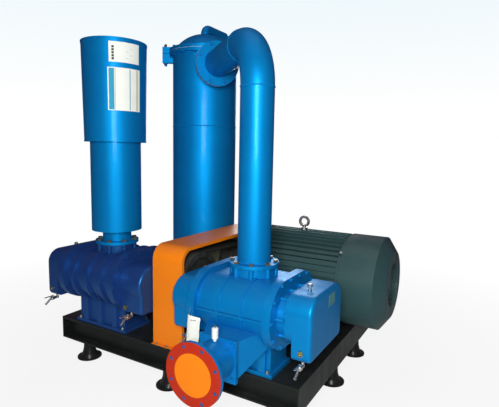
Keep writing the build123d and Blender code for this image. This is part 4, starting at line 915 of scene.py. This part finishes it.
def cylinder_patch(centre: Vector, radius: float, middle: float, half_width: float, low: float, high: float,
                   taper: float, steps: int) -> bpy.types.Mesh:
    """Thin sheet wrapped on an upright drum.

    Args:
        centre: a point on the drum's axis.
        radius: the drum's radius at the sheet's lower edge.
        middle: bearing of the sheet's middle in radians.
        half_width: half the sheet's width along the arc.
        low: height of its lower edge.
        high: height of its upper edge.
        taper: growth of the radius from the lower to the upper edge.
        steps: faces along the arc.

    Returns:
        The mesh, in place.
    """
    def build(work: bmesh.types.BMesh) -> None:
        """Make the inner and outer skins and close their rim."""
        grid: dict[tuple[int, int, int], bmesh.types.BMVert] = {}
        for layer in range(2):
            for i in range(steps + 1):
                angle = middle + half_width / radius * (2 * i / steps - 1)
                for level, height in enumerate((low, high)):
                    r = radius + taper * level + SHEET_THICKNESS * layer + SHEET_GAP
                    grid[layer, i, level] = work.verts.new(
                        (centre.x + r * math.cos(angle), centre.y + r * math.sin(angle), height))

        def face(*places: tuple[int, int, int]) -> None:
            """Close one face of the grid."""
            work.faces.new([grid[place] for place in places])

        for i in range(steps):
            for layer in range(2):
                face((layer, i, 0), (layer, i + 1, 0), (layer, i + 1, 1), (layer, i, 1))
            for level in range(2):
                face((0, i, level), (0, i + 1, level), (1, i + 1, level), (1, i, level))
        for i in (0, steps):
            face((0, i, 0), (0, i, 1), (1, i, 1), (1, i, 0))
    return mesh_from(build, "patch")


def stadium_spots(x: float, middle_y: float, z: float, half_gap: float, radius: float, count: int,
                  heading: float) -> list[Spot]:
    """Screw places along a stadium that runs round two shafts.

    Args:
        x: place of the face along the shafts.
        middle_y: midway between the shafts.
        z: height of the shafts.
        half_gap: half the distance between the shafts.
        radius: distance of the screws from the nearest shaft.
        count: number of screws.
        heading: +1 or -1 along X.

    Returns:
        Places with their headings.
    """
    straight, arc = 2 * half_gap, math.pi * radius
    total = 2 * straight + 2 * arc
    spots = []
    for i in range(count):
        s = (i + 0.5) * total / count
        if s < straight:
            y, dz = -half_gap + s, radius
        elif s < straight + arc:
            angle = math.pi / 2 - (s - straight) / radius
            y, dz = half_gap + radius * math.cos(angle), radius * math.sin(angle)
        elif s < 2 * straight + arc:
            y, dz = half_gap - (s - straight - arc), -radius
        else:
            angle = -math.pi / 2 - (s - 2 * straight - arc) / radius
            y, dz = -half_gap + radius * math.cos(angle), radius * math.sin(angle)
        spots.append((Vector((x, middle_y + y, z + dz)), Vector((heading, 0, 0))))
    return spots


# ---- sub-assemblies ----------------------------------------------------------
@dataclass(frozen=True)
class Screw:
    """Sizes of a hexagon screw or nut on its washer."""

    flat: float
    head: float
    washer: float
    rise: float = 0.004


RAIL_BOLT = Screw(0.013, 0.011, 0.016)
END_PLATE_SCREW = Screw(0.0115, 0.009, 0.0145, rise=0.0005)
PEDESTAL_NUT = Screw(0.0115, 0.010, 0.0125, rise=0.008)
GUARD_BOLT = Screw(0.008, 0.006, 0.011)
CLAMP_NUT = Screw(0.018, 0.016, 0.023, rise=0.010)
COWL_SCREW = Screw(0.009, 0.005, 0.012, rise=0.0)
INLET_BOLT = Screw(0.013, 0.010, 0.016, rise=0.003)
WASHER_HEIGHT = 0.0025
UP = Vector((0, 0, 1))


@dataclass
class Assembly:
    """Base of the sub-assemblies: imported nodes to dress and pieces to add."""

    shop: Workshop
    bolts: BoltTree
    finishes: dict[str, Finish] = field(default_factory=dict)

    def dress(self) -> None:
        """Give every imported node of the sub-assembly its finish."""
        for node, finish in self.finishes.items():
            self.shop.dress(node, finish)

    def build(self) -> None:
        """Make the sub-assembly's own pieces."""

    def fasteners(self, name: str, spots: list[Spot], finish: Finish, screw: Screw) -> bpy.types.Object:
        """Hexagon screws or nuts, all in one piece.

        Args:
            name: the piece's name.
            spots: places and headings.
            finish: their finish.
            screw: their sizes.

        Returns:
            The piece.
        """
        mesh = self.bolts.run(point_cloud(spots), self.shop.material(finish), Flat_Radius=screw.flat,
                              Head_Height=screw.head, Washer_Radius=screw.washer, Washer_Height=WASHER_HEIGHT,
                              Stud_Radius=0.5 * screw.flat, Stud_Rise=screw.rise)
        return self.shop.piece(name, mesh, finish)


@dataclass
class Skid(Assembly):
    """Skid, deck, motor rails and isolator feet, with the bolts of the rails."""

    rail_bolt_pitch: float = 0.26
    rail_bolt_end: float = 0.05
    rail_bolt_insets: tuple[float, float] = (0.028, 0.092)
    rail_foot: float = 0.016

    def build(self) -> None:
        """Bolt the motor's rails to the deck."""
        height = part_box("deck_plate")[1].z + self.rail_foot
        low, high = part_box("motor_rails")
        end, pitch = self.rail_bolt_end, self.rail_bolt_pitch
        across = [x for inset in self.rail_bolt_insets for x in (low.x + inset, high.x - inset)]
        along = (low.y + end, low.y + end + pitch, high.y - end - pitch, high.y - end)
        spots = [(Vector((x, y, height)), UP) for x in across for y in along]
        self.fasteners("rail_bolts", spots, ZINC, RAIL_BOLT)


@dataclass
class Blower(Assembly):
    """One blower: screws round its end plates, neck lugs, blank plate, nuts and outlet pipes."""

    stage: int = 1
    flange_screws: int = 14
    screw_inset: float = 0.015
    neck_screws: int = 10
    neck_radius: float = 0.134
    lug_radius: float = 0.012
    lug_length: float = 0.052
    lug_chamfer: float = 0.004
    plate_sides: tuple[float, float] = (0.015, 0.125)
    plate_drops: tuple[float, float] = (0.115, 0.040)
    plate_thickness: float = 0.0012
    nut_inset: tuple[float, float] = (0.035, 0.0125)
    foot_thickness: float = 0.026
    far_foot_reach: float = 0.220
    spout_radius: float = 0.0075
    spout_length: float = 0.062
    spout_lip: float = 0.002
    spout_depth: float = 0.020
    spout_offset: tuple[float, float] = (0.029, 0.017)
    spout_heading: tuple[float, float, float] = (0.0, -0.80, -0.60)

    def build(self) -> None:
        """Make the screws, the neck lugs, the blank plate, the pedestal nuts and the outlet pipes."""
        name = f"stage{self.stage}"
        paint = BLOWER_BLUE if self.stage == 1 else STAGE2_BLUE
        gear_side = 1.0 if self.stage == 1 else -1.0
        low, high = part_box(f"{name}_end_plates")
        radius = (high.z - low.z) / 2
        half_gap = (high.y - low.y) / 2 - radius
        middle_y, shaft_z = (low.y + high.y) / 2, (low.z + high.z) / 2
        spots = []
        for x, heading in ((low.x, -1.0), (high.x, 1.0)):
            spots += stadium_spots(x, middle_y, shaft_z, half_gap, radius - self.screw_inset,
                                   self.flange_screws, heading)
        self.fasteners(f"{name}_end_plate_screws", spots, paint, END_PLATE_SCREW)
        self._neck_lugs(name, gear_side, middle_y, shaft_z, half_gap, paint)
        self._blank_plate(name, gear_side, middle_y)
        self._pedestal_nuts(name)
        self._spouts(name)

    def _spouts(self, name: str) -> None:
        """Bent outlet pipes on the drain cocks.

        Args:
            name: the stage's name.
        """
        radius, length, lip = self.spout_radius, self.spout_length, self.spout_lip
        inside = length - self.spout_depth
        outline = [(0.0, 0.0), (0.0, radius), (length - 3 * lip, radius), (length - 2 * lip, radius + lip),
                   (length, radius + lip), (length, radius - lip), (inside, radius - lip), (inside, 0.0)]
        back, down = self.spout_offset
        pipes = []
        for end in ("drive", "gear"):
            low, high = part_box(f"{name}_{end}_drain_lever")
            start = Vector(((low.x + high.x) / 2, high.y - back, low.z - down))
            pipes.append(turned_mesh(outline, start, Vector(self.spout_heading), 24))
        self.shop.piece(f"{name}_drain_spouts", joined_mesh(pipes, "spouts"), ZINC)

    def _neck_lugs(self, name: str, side: float, middle_y: float, shaft_z: float, half_gap: float,
                   paint: Paint) -> None:
        """Long round lugs along the gear neck.

        Args:
            name: the stage's name.
            side: +1 where the gears are towards +X, else -1.
            middle_y: midway between the shafts.
            shaft_z: height of the shafts.
            half_gap: half the distance between the shafts.
            paint: the stage's paint.
        """
        low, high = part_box(f"{name}_gear_cover")
        start = low.x if side > 0 else high.x
        radius, length, chamfer = self.lug_radius, self.lug_length, self.lug_chamfer
        outline = [(0.0, 0.0), (0.0, radius), (length - chamfer, radius), (length, radius - chamfer),
                   (length, 0.0)]
        spots = stadium_spots(start, middle_y, shaft_z, half_gap, self.neck_radius, self.neck_screws, side)
        lugs = [turned_mesh(outline, place, heading, 20) for place, heading in spots]
        self.shop.piece(f"{name}_neck_lugs", joined_mesh(lugs, "lugs"), paint)

    def _blank_plate(self, name: str, side: float, middle_y: float) -> None:
        """Blank metal plate on the gear cover's end face.

        Args:
            name: the stage's name.
            side: +1 where the gears are towards +X, else -1.
            middle_y: midway between the shafts.
        """
        low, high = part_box(f"{name}_gear_cover")
        x = high.x if side > 0 else low.x
        y0, y1 = (middle_y + offset for offset in self.plate_sides)
        z0, z1 = (high.z - drop for drop in self.plate_drops)
        corners = [Vector((x, y, z)) for y, z in ((y0, z0), (y1, z0), (y1, z1), (y0, z1))]
        plate = slab_mesh(corners, Vector((side * self.plate_thickness, 0, 0)), "plate")
        self.shop.piece(f"{name}_blank_plate", plate, PLATE_GREEN)

    def _pedestal_nuts(self, name: str) -> None:
        """Holding-down nuts on the pedestal's foot flange."""
        low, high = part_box("pedestals")
        case_low, case_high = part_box(f"{name}_casing")
        port = (case_low.x + case_high.x) / 2
        reach = (high.x - port, high.x - port) if self.stage == 1 else (port - low.x, self.far_foot_reach)
        edge_x, edge_y = self.nut_inset
        height = low.z + self.foot_thickness
        spots = [(Vector((x, y, height)), UP) for x in (port - reach[0] + edge_x, port + reach[1] - edge_x)
                 for y in (low.y + edge_y, high.y - edge_y)]
        self.fasteners(f"{name}_pedestal_nuts", spots, ZINC, PEDESTAL_NUT)


@dataclass
class BeltDrive(Assembly):
    """Guard, motor pulley and belts."""

    foot_bolts: int = 3
    foot_inset: float = 0.012
    foot_thickness: float = 0.004

    def build(self) -> None:
        """Make the guard's holding-down bolts."""
        low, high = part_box("belt_guard")
        height = low.z + self.foot_thickness
        pitch = (high.x - low.x) / self.foot_bolts
        spots = [(Vector((low.x + (i + 0.5) * pitch, y, height)), UP)
                 for y in (low.y + self.foot_inset, high.y - self.foot_inset) for i in range(self.foot_bolts)]
        self.fasteners("guard_bolts", spots, ZINC, GUARD_BOLT)


@dataclass
class Pipework(Assembly):
    """Riser, vessel and pipes with their welds, a pale ring of painted highlight at the nozzle's flanges and
    the lid's clamp bolt.
    """

    beads: BeadTree | None = None
    bend_radius: float = 0.325
    pipe_radius: float = 0.113
    flange_thickness: float = 0.024
    nozzle_flange: float = 0.188
    nozzle_reach: float = 0.440
    flange_pair: float = 0.051
    vessel_radius: float = 0.300
    lid_radius: float = 0.332
    lid_pipe_offset: float = 0.040
    foot_seam: float = 0.135
    middle_seam: float = 0.5
    rim_seam: float = 0.032
    bead: float = 0.0042
    rim_highlight_bead: float = 0.0030
    # radius of the pale ring of painted highlight at the nozzle flanges
    bead_overlap: float = 1.15
    clamp_turn: float = math.radians(210.0)
    clamp_reach: float = 0.372
    clamp_rise: float = 0.058
    clamp_drop: float = 0.088

    def build(self) -> None:
        """Lay the weld beads and the pale ring of painted highlight at the nozzle, and bolt the lid's clamp.
        """
        riser_low, riser_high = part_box("riser_pipe")
        case_low, case_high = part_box("stage1_casing")
        lid_low, lid_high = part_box("vessel_lid")
        pipe_low, pipe_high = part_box("lid_pipe")
        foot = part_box("vessel_shell")[0].z
        port = Vector(((case_low.x + case_high.x) / 2, (case_low.y + case_high.y) / 2, 0))
        middle = Vector(((pipe_low.x + pipe_high.x) / 2 - self.lid_pipe_offset,
                         lid_high.y - self.lid_radius, 0))
        turn_z = riser_high.z - self.nozzle_flange
        away = Vector((middle.x - port.x, middle.y - port.y, 0)).normalized()
        bend_end = Vector((port.x, port.y, turn_z)) + away * self.bend_radius
        flange = Vector((middle.x, middle.y, turn_z)) - away * (self.nozzle_reach + self.flange_thickness)
        riser = [(Vector((port.x, port.y, height)), UP, self.pipe_radius)
                 for height in (turn_z - self.bend_radius, riser_low.z + self.flange_thickness)]
        vessel = [(Vector((middle.x, middle.y, height)), UP, self.vessel_radius)
                  for height in (foot + self.foot_seam, (foot + lid_low.z) / 2 + self.middle_seam,
                                 lid_low.z - self.rim_seam)]
        level = [(place, away, self.pipe_radius)
                 for place in (bend_end, flange, flange + away * self.flange_pair)]
        seams = riser + vessel + level
        welds = [self._ring_bead(index, seam, PIPE_BLUE, self.bead) for index, seam in enumerate(seams)]
        self.shop.piece("pipe_welds", joined_mesh(welds, "welds"), PIPE_BLUE)
        # painted highlight: a pale ring at the nozzle flanges' joint stands in for the bright rim
        joint = (flange + away * (self.flange_pair / 2), away, self.nozzle_flange - 0.002)
        self.shop.piece("nozzle_rim_highlight", self._ring_bead(len(seams), joint, FIBRE, self.rim_highlight_bead), FIBRE)
        self._clamp_bolt(middle, lid_low.z)

    def _ring_bead(self, index: int, seam: tuple[Vector, Vector, float], finish: Finish,
                   bead: float) -> bpy.types.Mesh:
        """Lay one ring of weld, or the pale ring of painted highlight.

        Args:
            index: number that varies the ripple.
            seam: the ring's centre, axis and radius.
            finish: the ring's finish.
            bead: the bead's radius.

        Returns:
            The mesh, in place.
        """
        place, heading, radius = seam
        count = max(60, int(2 * math.pi * radius / (self.bead_overlap * bead)))
        mesh = self.beads.run(point_cloud([]), self.shop.material(finish), Ring_Radius=radius, Bead=bead,
                              Count=count, Seed=index + 2)
        mesh.transform(facing(place, heading))
        return mesh

    def _clamp_bolt(self, middle: Vector, seat: float) -> None:
        """Bolt with a nut at each end through the lid's clamp lug.

        Args:
            middle: the vessel's axis.
            seat: height of the lid's lower face.
        """
        spot = middle + Vector((math.cos(self.clamp_turn), math.sin(self.clamp_turn), 0)) * self.clamp_reach
        ends = ((seat + self.clamp_rise, 1.0), (seat - self.clamp_drop, -1.0))
        spots = [(Vector((spot.x, spot.y, height)), Vector((0, 0, way))) for height, way in ends]
        self.fasteners("clamp_bolt", spots, BOLT_FINISH, CLAMP_NUT)


@dataclass(frozen=True)
class Stripe:
    """Plain bar that runs down the lower label."""

    name: str
    offset: float
    half: float
    finish: Finish


STRIPES = (Stripe("wide_stripe", -0.100, 0.019, STRIPE_BLUE),
           Stripe("edge_stripe", -0.074, 0.003, STRIPE_SAND),
           Stripe("thin_stripe", 0.036, 0.003, STRIPE_BLUE),
           Stripe("sand_stripe", 0.098, 0.007, STRIPE_SAND))


@dataclass
class Silencer(Assembly):
    """Discharge silencer with its two labels, which carry plain bars and no lettering."""

    foot_radius: float = 0.237
    top_radius: float = 0.249
    bearing: float = math.radians(-25.0)
    upper_half: float = 0.118
    upper_drops: tuple[float, float] = (0.180, 0.034)
    lower_half: float = 0.126
    lower_drops: tuple[float, float] = (0.530, 0.218)
    narrow: float = 0.03
    bar_lift: float = 0.0016
    bar_margin: float = 0.006
    bar_inset: float = 0.030
    square_offset: float = -0.088
    square_half: float = 0.0085
    square_height: float = 0.016
    square_pitch: float = 0.021
    squares: int = 5
    mark_offset: float = 0.015
    mark_stagger: float = 0.03
    mark_half: float = 0.010
    mark_height: float = 0.003
    mark_pitch: float = 0.024
    marks: int = 4

    def build(self) -> None:
        """Wrap the labels round the drum and lay their plain bars."""
        low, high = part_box("silencer_drum")
        self.centre = Vector(((low.x + high.x) / 2, (low.y + high.y) / 2, 0))
        self.low, self.height = low.z, high.z - low.z
        upper = tuple(high.z - drop for drop in self.upper_drops)
        lower = tuple(high.z - drop for drop in self.lower_drops)
        self._sheet("upper_label", self.bearing, self.upper_half, upper, CARD)
        self._sheet("lower_label", self.bearing, self.lower_half, lower, CARD)
        span = (lower[0] + self.bar_margin, lower[1] - self.bar_margin)
        for stripe in STRIPES:
            self._sheet(stripe.name, self._turned(stripe.offset), stripe.half, span, stripe.finish,
                        self.bar_lift)
        squares = []
        for i in range(self.squares):
            top = upper[1] - self.bar_inset - self.square_pitch * i
            squares.append(self._strip(self._turned(self.square_offset), self.square_half,
                                       (top - self.square_height, top), self.bar_lift))
        self.shop.piece("upper_label_squares", joined_mesh(squares, "squares"), INK)
        marks = []
        for i in range(self.marks):
            foot = upper[0] + self.bar_inset + self.mark_pitch * i
            marks.append(self._strip(self._turned(self.mark_offset + self.mark_stagger * (i % 2)),
                                     self.mark_half, (foot, foot + self.mark_height), self.bar_lift))
        self.shop.piece("upper_label_marks", joined_mesh(marks, "marks"), MARK_GREY)

    def _radius(self, z: float) -> float:
        """Radius of the drum's plain wall at a height."""
        return self.foot_radius + (self.top_radius - self.foot_radius) * (z - self.low) / self.height

    def _turned(self, offset: float) -> float:
        """Bearing of a place that lies an offset along the arc from the labels' middle."""
        return self.bearing + offset / self._radius(self.low + self.height / 2)

    def _strip(self, bearing: float, half: float, span: tuple[float, float], lift: float) -> bpy.types.Mesh:
        """Sheet wrapped on the drum.

        Args:
            bearing: its middle's bearing.
            half: half its width.
            span: its lower and upper edge.
            lift: how far it lies above the wall.

        Returns:
            The mesh.
        """
        z0, z1 = span
        steps = 4 if half < self.narrow else 18
        return cylinder_patch(self.centre, self._radius(z0) + lift, bearing, half, z0, z1,
                              self._radius(z1) - self._radius(z0), steps)

    def _sheet(self, name: str, bearing: float, half: float, span: tuple[float, float], finish: Finish,
               lift: float = 0.0) -> None:
        """Wrap one sheet as a piece.

        Args:
            name: the piece's name.
            bearing: its middle's bearing.
            half: half its width.
            span: its lower and upper edge.
            finish: its finish.
            lift: how far it lies above the wall.
        """
        self.shop.piece(name, self._strip(bearing, half, span, lift), finish)


@dataclass
class Motor(Assembly):
    """Motor: the wire guard in its cowl, and the cowl's screws."""

    grille: GrilleTree | None = None
    grille_radius: float = 0.164
    grille_hub: float = 0.046
    grille_pitch: float = 0.0105
    grille_rings: int = 12
    grille_wire: float = 0.0018
    grille_depth: float = 0.0115
    cowl_screws: int = 4
    cowl_rim: float = 0.012

    def build(self) -> None:
        """Make the wire guard in the cowl's face and the cowl's screws."""
        low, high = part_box("motor_cowl")
        centre = Vector((high.x, (low.y + high.y) / 2, (low.z + high.z) / 2))
        mesh = self.grille.run(point_cloud([]), self.shop.material(MOTOR_TEAL), Inner_Radius=self.grille_hub,
                               Pitch=self.grille_pitch, Rings=self.grille_rings, Wire=self.grille_wire,
                               Spokes=4, Reach=self.grille_radius)
        mesh.transform(facing(centre - Vector((self.grille_depth, 0, 0)), Vector((1, 0, 0))))
        self.shop.piece("cowl_grille", mesh, MOTOR_TEAL)
        spots = []
        radius = (high.z - low.z) / 2
        for i in range(self.cowl_screws):
            angle = math.radians(45) + 2 * math.pi * i / self.cowl_screws
            heading = Vector((0, math.cos(angle), math.sin(angle)))
            spots.append((Vector((low.x + self.cowl_rim, centre.y, centre.z)) + heading * radius, heading))
        self.fasteners("cowl_screws", spots, ZINC, COWL_SCREW)


@dataclass
class Suction(Assembly):
    """Inlet flange, transport cover, relief valve and tag."""

    plate_bolt_offset: float = 0.108
    plate_thickness: float = 0.026
    wire_length: float = 0.062
    wire_radius: float = 0.0012
    wire_height: float = 0.058
    card_thickness: float = 0.0008
    card_margin: float = 0.004
    curl: float = 0.007
    lean: float = 0.018
    droop: float = 0.006
    bar_width: float = 0.005
    bar_lift: float = 0.0012

    def build(self) -> None:
        """Make the square plate's corner bolts and the curled tag."""
        low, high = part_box("suction_pipe")
        plate_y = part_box("stage1_inlet_chest")[0].y - self.plate_thickness
        centre_x, centre_z = (low.x + high.x) / 2, (low.z + high.z) / 2
        offsets = (-self.plate_bolt_offset, self.plate_bolt_offset)
        spots = [(Vector((centre_x + dx, plate_y, centre_z + dz)), Vector((0, -1, 0)))
                 for dx in offsets for dz in offsets]
        self.fasteners("inlet_plate_bolts", spots, BLOWER_BLUE, INLET_BOLT)
        self._tag()

    def _tag(self) -> None:
        """Hang a curled card from its wire in place of the flat one."""
        low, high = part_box("hanging_tag")
        top = high.z - self.wire_height
        width, length = high.x - low.x, top - low.z

        def spot(u: float, v: float) -> Vector:
            """Place on the card's face.

            Args:
                u: share of the width from the left.
                v: share of the length from the top.

            Returns:
                The place.
            """
            bend = self.curl * (math.sin(3.4 * v + 0.6) * (0.5 + u) + 0.6 * math.sin(5.2 * u))
            x = low.x + self.card_margin + u * (width - self.card_margin - self.lean)
            return Vector((x + self.lean * (1 - v) * 0.9, low.y - self.card_margin - abs(bend),
                           top - v * length - self.droop * u * (1 - v)))

        def build(work: bmesh.types.BMesh) -> None:
            """Make both faces of the card and its rim."""
            across, down = 12, 18
            backs = (Vector((0, 0, 0)), Vector((0, self.card_thickness, 0)))
            grid = [[[work.verts.new(spot(i / across, k / down) + back) for k in range(down + 1)]
                     for i in range(across + 1)] for back in backs]
            for layer in grid:
                for i in range(across):
                    for k in range(down):
                        work.faces.new([layer[i][k], layer[i + 1][k], layer[i + 1][k + 1], layer[i][k + 1]])
            front, rear = grid
            for i in range(across):
                for k in (0, down):
                    work.faces.new([front[i][k], front[i + 1][k], rear[i + 1][k], rear[i][k]])
            for k in range(down):
                for i in (0, across):
                    work.faces.new([front[i][k], front[i][k + 1], rear[i][k + 1], rear[i][k]])
        card = self.shop.piece("curled_tag", mesh_from(build, "card", smooth=True), CARD)
        radius, rise = self.wire_radius, self.wire_length
        outline = [(0.0, 0.0), (0.0, radius), (rise, radius), (rise, 0.0)]
        hook = spot(0.16, 0.03) + Vector((0, 0.0015, -0.004))
        wire = turned_mesh(outline, hook, Vector((0, 0.09, 1)).normalized(), 10)
        self.shop.piece("tag_wire", wire, ZINC)
        lift = Vector((0, self.bar_lift, 0))
        upper = [spot(0.30, 0.13) - lift, spot(0.68, 0.115) - lift]
        lower = [corner - Vector((0, 0, self.bar_width)) for corner in reversed(upper)]
        self.shop.piece("tag_bar", slab_mesh(upper + lower, lift / 2, "bar"), INK)
        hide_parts("hanging_tag")


# ---- stage, lights and camera -------------------------------------------------
@dataclass(frozen=True)
class Lamp:
    """Soft square area lamp that faces the middle of the set."""

    name: str
    place: tuple[float, float, float]
    size: float
    power: float
    colour: Colour = WHITE

    def hang(self, target: Vector) -> None:
        """Add the lamp.

        Args:
            target: the point it faces.
        """
        data = bpy.data.lights.new(self.name, "AREA")
        data.size, data.energy, data.color = self.size, self.power, self.colour
        lamp = add_object(self.name, data)
        lamp.location = self.place
        lamp.rotation_euler = (target - Vector(self.place)).to_track_quat("-Z", "Y").to_euler()


LAMPS = (Lamp("key_lamp", (2.2, -3.7, 2.3), 1.2, 188.0, (0.97, 1.0, 0.91)),
         Lamp("side_lamp", (4.4, -2.6, 3.4), 1.6, 3.0, (0.97, 1.0, 0.93)),
         Lamp("back_lamp", (-2.0, 4.8, 3.2), 2.0, 90.0),
         Lamp("top_lamp", (0.2, -0.6, 6.0), 3.0, 20.0))


@dataclass(frozen=True)
class Studio:
    """Pale floor, soft lamps and the camera."""

    lens: float = 31.364
    yaw: float = math.radians(29.92)
    pitch: float = math.radians(6.73)
    roll: float = math.radians(1.13)
    place: tuple[float, float, float] = (2.0948, -3.1854, 1.7937)
    target: tuple[float, float, float] = (0.1, -0.3, 1.2)
    floor_half: float = 30.0

    def build(self) -> None:
        """Make the whole stage."""
        self._camera()
        self._floor()
        for lamp in LAMPS:
            lamp.hang(Vector(self.target))
        self._world()
        bpy.context.scene.view_settings.view_transform = "Standard"

    def _camera(self) -> None:
        """Place the camera."""
        data = bpy.data.cameras.new("camera")
        data.lens = self.lens
        data.sensor_width = 36.0
        data.clip_end = 60.0
        camera = add_object("camera", data)
        forward = Vector((-math.sin(self.yaw) * math.cos(self.pitch),
                          math.cos(self.yaw) * math.cos(self.pitch), -math.sin(self.pitch)))
        level = Vector((math.cos(self.yaw), math.sin(self.yaw), 0))
        above = level.cross(forward)
        right = level * math.cos(self.roll) + above * math.sin(self.roll)
        upper = above * math.cos(self.roll) - level * math.sin(self.roll)
        turn = Matrix((right, upper, -forward)).transposed()
        camera.matrix_world = Matrix.Translation(Vector(self.place)) @ turn.to_4x4()
        bpy.context.scene.camera = camera

    def _floor(self) -> None:
        """Lay the pale floor that fades to white."""
        def build(work: bmesh.types.BMesh) -> None:
            """One large square."""
            bmesh.ops.create_grid(work, x_segments=1, y_segments=1, size=self.floor_half)
        mesh = mesh_from(build, "floor")
        floor = add_object("floor", mesh)
        made, graph, place = new_material("pale_floor")
        seen = graph.add("ShaderNodeLightPath").outputs["Is Camera Ray"]
        tint = graph.mix(graph.noise(place, 60.0, 3.0), (0.66, 0.67, 0.68), (0.70, 0.70, 0.71))
        plain = graph.add("ShaderNodeBsdfDiffuse", {"Color": tint})
        glow = graph.add("ShaderNodeEmission", {"Color": opaque(WHITE), "Strength": 1.0})
        reach = graph.vector_math("LENGTH", {0: place}).outputs["Value"]
        share = graph.math("MULTIPLY", seen, graph.spread(reach, 1.6, 4.5, 0.86, 1.0))
        both = graph.add("ShaderNodeMixShader", {0: share, 1: plain.outputs[0], 2: glow.outputs[0]})
        graph.end("ShaderNodeOutputMaterial", both)
        mesh.materials.append(made)

    @staticmethod
    def _world() -> None:
        """White surroundings with a faint cool tint near the top, and a dim fill."""
        world = bpy.data.worlds.new("surroundings")
        bpy.context.scene.world = world
        world.use_nodes = True
        graph = Graph(world.node_tree)
        path = graph.add("ShaderNodeLightPath").outputs
        seen = graph.math("MAXIMUM", path["Is Camera Ray"], path["Is Transmission Ray"])
        place = graph.add("ShaderNodeTexCoord").outputs["Generated"]
        height = graph.add("ShaderNodeSeparateXYZ", {0: place}).outputs["Z"]
        tint = graph.mix(graph.spread(height, 0.10, 0.32), WHITE, (0.86, 0.94, 0.97))
        soft = graph.mix(path["Is Glossy Ray"], (0.86, 0.72, 1.0), (0.95, 0.40, 1.0))
        backdrop = graph.add("ShaderNodeBackground", {"Color": tint, "Strength": 1.0})
        fill = graph.add("ShaderNodeBackground", {"Color": soft, "Strength": 0.075})
        both = graph.add("ShaderNodeMixShader", {0: seen, 1: fill.outputs[0], 2: backdrop.outputs[0]})
        graph.end("ShaderNodeOutputWorld", both)


# ---- build -------------------------------------------------------------------
ZONE_MARGIN = 0.01


def stage_finishes(stage: int, paint: Paint) -> dict[str, Finish]:
    """Finishes of one blower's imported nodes.

    Args:
        stage: 1 or 2.
        paint: the stage's paint.

    Returns:
        Node names with their finishes.
    """
    parts = {("casing", "end_plates", "drive_cover", "gear_cover", "inlet_chest"): paint,
             ("drive_rotor", "idler_rotor", "pulley"): IRON,
             ("drive_gear", "idler_gear"): STEEL,
             ("drive_drain_lever", "gear_drain_lever"): ZINC}
    return {f"stage{stage}_{part}": finish for names, finish in parts.items() for part in names}


def guard_finish_with_painted_shade() -> Paint:
    """Guard enamel, with a darker olive on the faces that look into the guard as painted shade of its inside.

    Returns:
        The finish.
    """
    low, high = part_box("belt_guard")
    foot = 0.0235
    # painted shade: faces that look into the guard take a darker olive in place of the orange
    zone = Zone((low.x - ZONE_MARGIN, low.y + foot, low.z),
                (high.x + ZONE_MARGIN, high.y - foot, high.z + ZONE_MARGIN), GUARD_SHADE_OLIVE, inward_only=True)
    return replace(GUARD_ORANGE, zone=zone)


def pedestal_finish() -> Paint:
    """Pedestal enamel: light under stage 1, dark under stage 2.

    Returns:
        The finish.
    """
    low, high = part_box("pedestals")
    guard_low, guard_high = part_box("belt_guard")
    zone = Zone((low.x - ZONE_MARGIN, low.y - ZONE_MARGIN, low.z - ZONE_MARGIN),
                ((guard_low.x + guard_high.x) / 2, high.y + ZONE_MARGIN, high.z + ZONE_MARGIN),
                STAGE2_BLUE.colour)
    return replace(BLOWER_BLUE, name="pedestal_enamel", zone=zone)


def bolt_finish() -> Paint:
    """Flange bolts: passivated at the ports, overpainted at the vessel.

    Returns:
        The finish.
    """
    low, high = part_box("pipe_bolts")
    overpainted_from = 2.0
    zone = Zone((low.x - ZONE_MARGIN, low.y - ZONE_MARGIN, overpainted_from),
                (high.x + ZONE_MARGIN, high.y + ZONE_MARGIN, high.z + ZONE_MARGIN), VESSEL_BLUE.shade)
    return replace(BOLT_FINISH, zone=zone)


def main() -> None:
    """Build and dress every sub-assembly, then set the stage."""
    logging.basicConfig(level=logging.INFO, format="%(message)s")
    shop = Workshop()
    bolts = BoltTree()
    groups = [
        Skid(shop, bolts, {"skid_frame": SKID_BLACK, "deck_plate": SKID_BLACK, "motor_rails": SKID_BLACK,
                           "isolator_feet": FOOT_RUBBER, "foot_studs": ZINC}),
        Blower(shop, bolts, {**stage_finishes(1, BLOWER_BLUE), "pedestals": pedestal_finish(),
                             "rotor_bearings": STEEL, "sight_glasses": BRASS, "breather_plugs": ZINC,
                             "drain_cocks": ZINC}, stage=1),
        Blower(shop, bolts, stage_finishes(2, STAGE2_BLUE), stage=2),
        BeltDrive(shop, bolts, {"belt_guard": guard_finish_with_painted_shade(), "v_belts": BELT_RUBBER, "motor_pulley": IRON}),
        Pipework(shop, bolts, {"riser_pipe": PIPE_BLUE, "vessel_shell": VESSEL_BLUE,
                               "vessel_lid": VESSEL_BLUE, "lid_pipe": VESSEL_BLUE,
                               "interstage_pipe": VESSEL_BLUE, "pipe_gaskets": FIBRE,
                               "pipe_bolts": bolt_finish()}, beads=BeadTree()),
        Silencer(shop, bolts, {"silencer_body": PIPE_BLUE, "silencer_drum": PIPE_BLUE}),
        Motor(shop, bolts, {"motor_housing": MOTOR_TEAL, "motor_end_shields": MOTOR_TEAL,
                            "motor_cowl": MOTOR_TEAL, "terminal_box": MOTOR_TEAL, "motor_rotor": STEEL,
                            "motor_fan": ALLOY, "motor_eye_bolt": ZINC}, grille=GrilleTree()),
        Suction(shop, bolts, {"suction_pipe": BLOWER_BLUE, "suction_gasket": RING_RED,
                              "blanking_disc": COVER_ORANGE, "relief_valve_body": VALVE_WHITE,
                              "relief_valve_pin": BRASS, "hanging_tag": CARD}),
    ]
    for group in groups:
        group.dress()
        group.build()
    Studio().build()


if __name__ == "__main__":
    main()
